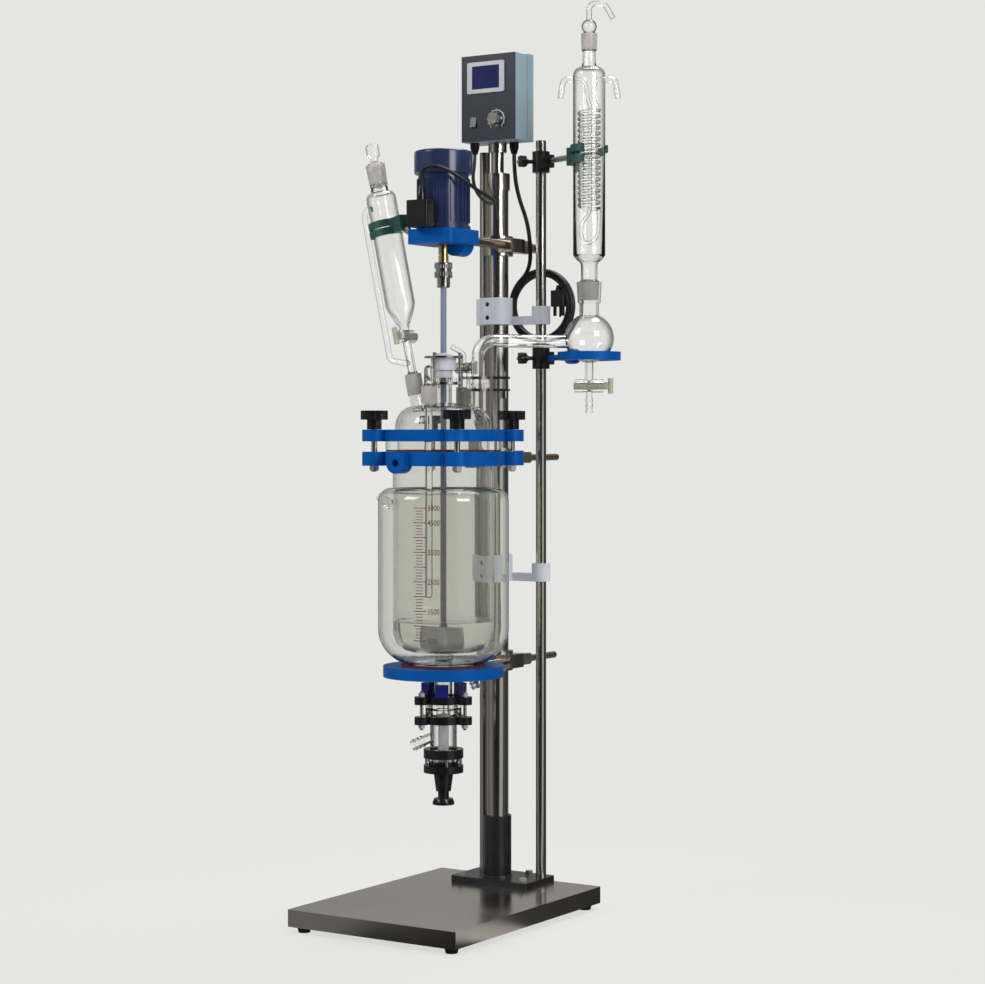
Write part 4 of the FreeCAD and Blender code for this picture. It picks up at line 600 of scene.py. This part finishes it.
class REACTOR_OT_glass(ReactorOperator):
    """Dress the glass bodies, their ground joints and keys"""
    bl_idname = "reactor.glass"
    bl_label = "Glass"

    def execute(self, context):
        dress(["jacketed_vessel", "reactor_lid"], vessel_glass(), 40.0)
        dress(["dropping_funnel", "receiver", "condenser", "funnel_stopper"], glass(), 40.0)
        dress(["condenser_adapter", "thermowell", "vent_valve", "drain_valve_body"], thin_glass(), 40.0)
        dress(["funnel_key", "receiver_key", "vent_key"], valve_glass())
        dress(["stirring_seal", "valve_stem"], fluoropolymer())
        self.stem_sleeve()
        self.joint_bands()
        return {"FINISHED"}

    def stem_sleeve(self):
        """The black part of the bottom valve's stem, above its hand wheel."""
        outer = 0.00912
        inner = 0.00895
        low = 0.2112
        high = 0.2335
        outline = [(outer, low), (outer, high - 0.0005), (inner, high), (inner, low)]
        rod = lathe("valve_rod", outline, AXIS, 64)
        put(rod, "valve_stem", black_plastic(), 40.0)

    def joint_bands(self):
        """The frosted bands of the ground joints: axis, level of foot and rim, radius of foot and rim."""
        lean = self.funnel_lean()
        vent = Vector((0.0180, 0.0210, 0.0))
        thermowell = Vector((0.0261, -0.0941, 0.0))
        for name, axis, low, high, foot, rim, matrix in (
                ("vent_joint", vent, 0.8640, 0.8925, 0.01312, 0.01312, None),
                ("thermowell_joint", thermowell, 0.8640, 0.8925, 0.01312, 0.01312, None),
                ("funnel_joint", FUNNEL_FOOT, 0.8820, 0.9145, 0.01412, 0.01412, lean),
                ("stopper_joint", FUNNEL_FOOT, 1.2440, 1.2775, 0.01525, 0.01660, lean),
                ("receiver_joint", CONDENSER_AXIS, 1.0395, 1.0680, 0.01545, 0.01730, None),
                ("condenser_joint", CONDENSER_AXIS, 1.4585, 1.4855, 0.01300, 0.01372, None)):
            obj = sleeve(name, axis, low, high, foot, rim)
            if matrix:
                obj.data.transform(matrix)
            put(obj, "root", ground_glass(), 40.0)

    def funnel_lean(self):
        """The turn that leans the funnel out from the vessel."""
        there = Matrix.Translation(FUNNEL_FOOT)
        return there @ Matrix.Rotation(math.radians(-FUNNEL_TILT), 4, "Y") @ there.inverted()


class REACTOR_OT_coil(ReactorOperator):
    """Wind the condenser's smooth glass coil, with the tubes to its hooks and the loop under it"""
    bl_idname = "reactor.coil"
    bl_label = "Condenser coil"

    def execute(self, context):
        radius = 0.017
        turns = 17
        pitch = 0.0095
        foot = 1.196
        top = foot + turns * pitch
        hook = 1.4075

        def path(level, offsets):
            """A smooth path of places to the right of the axis and above a level, in the photo's plane."""
            places = [CONDENSER_AXIS + TOWARD_RIGHT * right + UP * (level + up) for right, up in offsets]
            return rounded(places)

        points = path(hook, (
            (-0.0215, 0.0), (-0.019, 0.003), (-0.015, 0.003), (-0.009, -0.001),
            (-0.0045, -0.011), (-0.003, -0.030), (0.000, -0.037), (0.002, -0.045)))
        points += path(foot, (
            (0.002, 0.004), (0.0005, -0.006), (-0.005, -0.015), (-0.012, -0.024), (-0.0155, -0.037),
            (-0.012, -0.051), (-0.004, -0.058), (0.006, -0.056), (0.0135, -0.047), (0.0160, -0.034),
            (0.0165, -0.016), (radius, -0.004)))
        steps = 28
        for i in range(turns * steps + 1):
            a = VIEW_AZIMUTH + 2 * math.pi * i / steps
            spoke = Vector((math.cos(a), math.sin(a), 0.0))
            points.append(CONDENSER_AXIS + spoke * radius + UP * (foot + pitch * i / steps))
        points += path(top, (
            (radius, 0.003), (0.0135, 0.009), (0.0085, 0.018), (0.0070, 0.034),
            (0.0100, 0.045), (0.0150, 0.053), (0.0190, 0.053), (0.0215, 0.050)))
        obj = sweep("coil_tube", points, sizes().coil_tube)
        put(obj, "root", thin_glass(), 40.0)
        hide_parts("condenser_coil")
        return {"FINISHED"}


class REACTOR_OT_liquid(ReactorOperator):
    """Fill the vessel's foot with clear liquid"""
    bl_idname = "reactor.liquid"
    bl_label = "Liquid"

    def execute(self, context):
        inner = 0.0813
        foot = 0.4535
        level = sizes().liquid_level
        middle = level - 0.0010
        outline = [(0.0, foot), (0.050, foot + 0.005), (0.068, foot + 0.0135), (0.0765, foot + 0.022),
                   (inner, foot + 0.038), (inner, level), (inner - 0.001, level - 0.0006),
                   (inner - 0.003, middle), (0.0, middle)]
        obj = lathe("liquid", outline, AXIS)
        put(obj, "root", liquid(), 30.0)
        return {"FINISHED"}


def wrap_text(name, body, height, radius, right, level):
    """Numbers printed round the vessel, their left edge at a distance to the right of its middle line."""
    cap_share = 0.72
    narrowing = 0.76
    stroke_share = 0.012
    curve = bpy.data.curves.new(name + "_text", "FONT")
    curve.body = body
    curve.size = height / cap_share
    curve.resolution_u = 3
    curve.offset = height * stroke_share
    holder = bpy.data.objects.new(name + "_text", curve)
    bpy.context.scene.collection.objects.link(holder)
    mesh = bpy.data.meshes.new_from_object(holder)
    bpy.data.objects.remove(holder)
    verts = []
    for v in mesh.vertices:
        verts.append(on_wall(right + v.co.x * narrowing, level - height / 2 + v.co.y, radius))
    return mesh, verts


def on_wall(right, z, radius):
    """A point on the vessel's wall, at an arc length right of the line that faces the camera."""
    a = right / radius
    direction = TOWARD_CAMERA * math.cos(a) + TOWARD_RIGHT * math.sin(a)
    return Vector((AXIS.x, AXIS.y, 0.0)) + direction * radius + UP * z


class REACTOR_OT_scale(ReactorOperator):
    """Print the volume scale on the vessel: ticks and plain numbers"""
    bl_idname = "reactor.scale"
    bl_label = "Printed scale"

    def execute(self, context):
        radius = 0.0843
        step = sizes().scale_step
        foot = sizes().scale_foot
        verts = []
        faces = []

        def strip(left, right, z, thick):
            count = 5
            start = len(verts)
            for i in range(count + 1):
                arc = left + (right - left) * i / count
                verts.append(on_wall(arc, z - thick / 2, radius))
                verts.append(on_wall(arc, z + thick / 2, radius))
            for i in range(count):
                k = start + 2 * i
                faces.append([k, k + 2, k + 3, k + 1])

        long_tick = (-0.0500, -0.0270, 0.0013)
        short_tick = (-0.0455, -0.0330, 0.0011)
        numbers_left = -0.0245
        for i in range(46):
            left, right, thick = short_tick if i % 5 else long_tick
            strip(left, right, foot + step * i / 5, thick)
        for number in (500, 1500, 2500, 3500, 4500, 5000):
            z = foot + step * (number - 500) / 500
            mesh, places = wrap_text(
                "number_%d" % number, str(number), sizes().digit_height, radius, numbers_left, z)
            base = len(verts)
            verts += places
            faces += [[base + v for v in p.vertices] for p in mesh.polygons]
            bpy.data.meshes.remove(mesh)
        obj = mesh_object("printed_scale", verts, faces)
        ink = obj.modifiers.new("ink", "SOLIDIFY")
        ink.thickness = 0.0002
        put(obj, "root", scale_print())
        return {"FINISHED"}


class REACTOR_OT_drive(ReactorOperator):
    """Dress the motor, its terminal box, coupling, chuck, shaft and paddle"""
    bl_idname = "reactor.drive"
    bl_label = "Drive"

    def execute(self, context):
        dress(["motor_body"], navy())
        dress(["terminal_box", "cable_glands"], black_plastic())
        dress(["drive_coupling"], brass())
        dress(["chuck"], dark_steel())
        dress(["stirrer_shaft"], shaft_coat())
        # The paddle's colour holds painted light for what the glass keeps from it.
        dress(["stirrer_paddle"], paddle_coat())
        return {"FINISHED"}


class REACTOR_OT_control_box(ReactorOperator):
    """Dress the control box and its switch, and set its display window and dial marks"""
    bl_idname = "reactor.control_box"
    bl_label = "Control box"

    def execute(self, context):
        dress(["control_box"], case_paint())
        dress(["control_panel"], panel_paint())
        dress(["display_bezel"], silver_plastic())
        dress(["speed_knob"], bright_steel())
        dress(["power_switch"], black_plastic())
        self.display()
        self.dial()
        return {"FINISHED"}

    def display(self):
        """The dark window inside the bezel."""
        x = (BEZEL_LOW.x + BEZEL_HIGH.x) / 2
        z = (BEZEL_LOW.z + BEZEL_HIGH.z) / 2
        width = 0.0555
        height = 0.0395
        front = PANEL_FRONT - 0.0017
        back = PANEL_FRONT - 0.00125
        verts = []
        for y in (front, back):
            for sx, sz in ((-1, -1), (1, -1), (1, 1), (-1, 1)):
                verts.append(Vector((x + sx * width / 2, y, z + sz * height / 2)))
        faces = [[0, 1, 2, 3], [7, 6, 5, 4], [0, 4, 5, 1], [1, 5, 6, 2], [2, 6, 7, 3], [3, 7, 4, 0]]
        obj = mesh_object("display_window", verts, faces)
        bevel = obj.modifiers.new("bevel", "BEVEL")
        bevel.width = 0.0002
        put(obj, "root", display_face())

    def dial(self):
        """A white arc with ticks round the speed knob."""
        low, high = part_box("speed_knob")
        cx = (low.x + high.x) / 2
        cz = (low.z + high.z) / 2
        y = PANEL_FRONT - 0.0002
        verts = []
        faces = []
        inner = 0.0148
        outer = 0.0162
        first = -50
        swept = 280
        thinnest = 0.3
        count = 40
        for i in range(count + 1):
            a = math.radians(first + swept * i / count)
            width = (outer - inner) * (thinnest + (1 - thinnest) * (1 - i / count))
            for r in (outer - width, outer):
                verts.append(Vector((cx + r * math.cos(a), y, cz + r * math.sin(a))))
            if i:
                k = 2 * i
                faces.append([k - 2, k - 1, k + 1, k])
        centre = Vector((cx, y, cz))
        tick_start = 0.0168
        tick_end = 0.0190
        ticks = 10
        for i in range(ticks + 1):
            a = math.radians(first + swept * i / ticks)
            along = Vector((math.cos(a), 0, math.sin(a)))
            side = Vector((-math.sin(a), 0, math.cos(a))) * 0.0003
            start = len(verts)
            verts += [centre + along * tick_start - side, centre + along * tick_end - side,
                      centre + along * tick_end + side, centre + along * tick_start + side]
            faces.append([start, start + 1, start + 2, start + 3])
        obj = mesh_object("dial_marks", verts, faces)
        ink = obj.modifiers.new("ink", "SOLIDIFY")
        ink.thickness = 0.00015
        put(obj, "root", white_print())


def nurbs(name, points, radius):
    """A smooth cable through its control points."""
    curve = bpy.data.curves.new(name, "CURVE")
    curve.dimensions = "3D"
    curve.bevel_depth = radius
    curve.bevel_resolution = 4
    curve.resolution_u = 8
    curve.use_fill_caps = True
    spline = curve.splines.new("NURBS")
    spline.points.add(len(points) - 1)
    for point, place in zip(spline.points, points):
        point.co = (*place, 1.0)
    spline.order_u = 3
    spline.use_endpoint_u = True
    obj = bpy.data.objects.new(name, curve)
    bpy.context.scene.collection.objects.link(obj)
    return obj


class REACTOR_OT_cables(ReactorOperator):
    """Lay the motor cable and the coiled mains cord"""
    bl_idname = "reactor.cables"
    bl_label = "Cables"

    def execute(self, context):
        gland = 1.307
        motor_route = [
            (0.010, -0.093, 1.209),
            (0.010, -0.093, 1.239),
            (0.022, -0.100, 1.253),
            (0.048, -0.090, 1.251),
            (0.072, -0.068, 1.233),
            (0.083, -0.036, 1.214),
            (0.080, 0.008, 1.206),
            (0.058, 0.058, 1.203),
            (0.016, 0.096, 1.207),
            (-0.024, 0.124, 1.229),
            (-0.046, 0.144, 1.257),
            (-0.050, 0.158, 1.285),
            (-0.050, 0.158, gland),
        ]
        cable = nurbs("motor_lead", motor_route, 0.003)
        put(cable, "root", cable_sheath())
        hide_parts("motor_cable")
        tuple(motor_route[0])
        self.mains_cord(gland)
        dress(["power_plug"], cable_sheath())
        return {"FINISHED"}

    def mains_cord(self, gland):
        """The mains cord: down behind the box, then coiled, each turn on its own lane."""
        centre = Vector((0.054, 0.2115, 1.036))
        ring = 0.060
        route = [
            (0.012, 0.188, gland),
            (0.012, 0.188, 1.268),
            (0.018, 0.193, 1.226),
            (0.032, 0.199, 1.184),
            (0.037, 0.201, 1.144),
            (0.034, 0.206, 1.112),
        ]
        turns = 4
        steps = 14
        start = math.radians(118)
        radius = 0.0035
        lanes = [(radius, -radius), (-radius, -radius), (-radius, radius), (radius, radius)]
        for i in range(turns * steps + 1):
            part = i / steps
            index = min(int(part), turns - 1)
            blend = min(1.0, (part - index) * 3) if index else 1.0
            now = lanes[index]
            before = lanes[max(index - 1, 0)]
            out = before[0] + (now[0] - before[0]) * blend
            back = before[1] + (now[1] - before[1]) * blend
            a = start + 2 * math.pi * part
            reach = ring + out
            route.append((centre.x + reach * math.cos(a), centre.y + back, centre.z + reach * math.sin(a)))
        cord = nurbs("mains_cord", route, radius)
        put(cord, "root", cable_sheath())
        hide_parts("power_cord", "power_cord_coil")
        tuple(route[0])


def math_of(tree, operation, first, second, clamped=False):
    """A math node of two sockets, as a socket."""
    made = tree.nodes.new("ShaderNodeMath")
    made.operation = operation
    made.use_clamp = clamped
    tree.links.new(first, made.inputs[0])
    tree.links.new(second, made.inputs[1])
    return made.outputs[0]


def mix_of(tree, share, first, second):
    """The first shader, with a share of the second, as a socket."""
    made = tree.nodes.new("ShaderNodeMixShader")
    tree.links.new(share, made.inputs["Fac"])
    tree.links.new(first, made.inputs[1])
    tree.links.new(second, made.inputs[2])
    return made.outputs["Shader"]


def through_ray(tree, path):
    """One where a ray comes from the camera or through glass, as a socket."""
    return math_of(tree, "MAXIMUM", path.outputs["Is Camera Ray"], path.outputs["Is Transmission Ray"])


def mirror_ray(tree, path):
    """One where a ray comes from a reflection, as a socket."""
    glossy = path.outputs["Is Glossy Ray"]
    return math_of(tree, "SUBTRACT", glossy, path.outputs["Is Transmission Ray"], clamped=True)


def panels(tree, vector):
    """Level of the studio's panels by bearing, as a colour socket."""
    around = tree.nodes.new("ShaderNodeTexGradient")
    around.gradient_type = "RADIAL"
    tree.links.new(vector, around.inputs["Vector"])
    stops = []
    for degrees, level in PANELS:
        stops.append((degrees / 360 + 0.5, (level, level * PANEL_GREEN, level * PANEL_BLUE)))
    return ramp_of(tree, around.outputs["Fac"], stops)


class REACTOR_OT_stage(ReactorOperator):
    """Set the pale floor, the studio light and the camera"""
    bl_idname = "reactor.stage"
    bl_label = "Stage"

    def execute(self, context):
        scene = context.scene
        scene.view_settings.view_transform = "Standard"
        self.floor()
        self.world(scene)
        stage = scene.reactor_stage
        self.light("key_light", Vector((-2.4, -3.9, 3.6)), 2.2, stage.key_power)
        self.light("fill_light", Vector((4.4, -1.6, 2.6)), 2.0, stage.fill_power)
        self.light("top_light", Vector((0.3, 1.4, 4.2)), 1.8, stage.fill_power)
        data = bpy.data.cameras.new("camera")
        data.lens = CAMERA_LENS
        data.sensor_width = 36.0
        data.shift_y = CAMERA_SHIFT
        data.clip_end = 50.0
        camera = bpy.data.objects.new("camera", data)
        camera.location = CAMERA_PLACE
        camera.rotation_euler = (math.pi / 2, 0.0, VIEW_AZIMUTH)
        scene.collection.objects.link(camera)
        scene.camera = camera
        return {"FINISHED"}

    def floor(self):
        """A pale floor that fades into the backdrop away from the reactor; reflections show the panels."""
        half = 30.0
        corners = [(-half, -half, 0), (half, -half, 0), (half, half, 0), (-half, half, 0)]
        obj = mesh_object("floor", corners, [[0, 1, 2, 3]])
        backdrop = tuple(bpy.context.scene.reactor_stage.backdrop)
        made = Finish("pale_floor", backdrop, 0.9)
        made.mottle(1.5, 0.01)
        tree = made.tree
        path = tree.nodes.new("ShaderNodeLightPath")
        glow = tree.nodes.new("ShaderNodeEmission")
        glow.inputs["Color"].default_value = (*backdrop, 1.0)
        near = tree.nodes.new("ShaderNodeTexGradient")
        near.gradient_type = "SPHERICAL"
        made.link(made.place((0.8, 0.8, 0.8)), near.inputs["Vector"])
        share = tree.nodes.new("ShaderNodeMapRange")
        share.inputs["To Min"].default_value = 1.0
        share.inputs["To Max"].default_value = 0.80
        made.link(near.outputs["Fac"], share.inputs["Value"])
        fade = math_of(tree, "MULTIPLY", through_ray(tree, path), share.outputs["Result"])
        seen = mix_of(tree, fade, made.shader.outputs["BSDF"], glow.outputs["Emission"])
        around = tree.nodes.new("ShaderNodeEmission")
        made.link(panels(tree, made.place()), around.inputs["Color"])
        whole = mix_of(tree, mirror_ray(tree, path), seen, around.outputs["Emission"])
        made.link(whole, tree.nodes["Material Output"].inputs["Surface"])
        obj.data.materials.append(made.material)

    def world(self, scene):
        """An even light, a pale backdrop, and dark and bright panels that only reflections show."""
        world = bpy.data.worlds.new("studio")
        world.use_nodes = True
        scene.world = world
        tree = world.node_tree
        ambient = tree.nodes["Background"]
        ambient.inputs["Color"].default_value = (1.0, 1.0, 1.0, 1.0)
        ambient.inputs["Strength"].default_value = AMBIENT
        seen = tree.nodes.new("ShaderNodeBackground")
        seen.inputs["Color"].default_value = (*scene.reactor_stage.backdrop, 1.0)
        coords = tree.nodes.new("ShaderNodeTexCoord")
        mirrored = tree.nodes.new("ShaderNodeBackground")
        tree.links.new(panels(tree, coords.outputs["Generated"]), mirrored.inputs["Color"])
        path = tree.nodes.new("ShaderNodeLightPath")
        even = ambient.outputs["Background"]
        direct = mix_of(tree, through_ray(tree, path), even, seen.outputs["Background"])
        whole = mix_of(tree, mirror_ray(tree, path), direct, mirrored.outputs["Background"])
        tree.links.new(whole, tree.nodes["World Output"].inputs["Surface"])

    def light(self, name, place, size, power):
        """A square soft light that looks at the middle of the reactor."""
        data = bpy.data.lights.new(name, "AREA")
        data.size = size
        data.energy = power
        obj = bpy.data.objects.new(name, data)
        obj.location = place
        aim = MIDDLE - place
        obj.rotation_euler = aim.to_track_quat("-Z", "Y").to_euler()
        bpy.context.scene.collection.objects.link(obj)


class REACTOR_PT_panel(bpy.types.Panel):
    """Lists the reactor's operators and settings."""
    bl_label = "Reactor"
    bl_idname = "REACTOR_PT_panel"
    bl_space_type = "VIEW_3D"
    bl_region_type = "UI"
    bl_category = "Reactor"

    def draw(self, context):
        column = self.layout.column()
        for operator in OPERATORS:
            column.operator(operator.bl_idname)
        scene = context.scene
        for group in (scene.reactor_colours, scene.reactor_sizes, scene.reactor_stage):
            for key in group.bl_rna.properties.keys():
                if key not in ("rna_type", "name"):
                    column.prop(group, key)


OPERATORS = (
    REACTOR_OT_stand,
    REACTOR_OT_supports,
    REACTOR_OT_glass,
    REACTOR_OT_coil,
    REACTOR_OT_liquid,
    REACTOR_OT_scale,
    REACTOR_OT_drive,
    REACTOR_OT_control_box,
    REACTOR_OT_cables,
    REACTOR_OT_stage,
)
CLASSES = (ReactorColours, ReactorSizes, ReactorStage) + OPERATORS + (REACTOR_PT_panel,)


def register():
    for cls in CLASSES:
        bpy.utils.register_class(cls)
    bpy.types.Scene.reactor_colours = bpy.props.PointerProperty(type=ReactorColours)
    bpy.types.Scene.reactor_sizes = bpy.props.PointerProperty(type=ReactorSizes)
    bpy.types.Scene.reactor_stage = bpy.props.PointerProperty(type=ReactorStage)


def unregister():
    del bpy.types.Scene.reactor_colours
    del bpy.types.Scene.reactor_sizes
    del bpy.types.Scene.reactor_stage
    for cls in reversed(CLASSES):
        bpy.utils.unregister_class(cls)


def main():
    register()
    for operator in OPERATORS:
        group, name = operator.bl_idname.split(".")
        getattr(getattr(bpy.ops, group), name)()


if __name__ == "__main__":
    main()
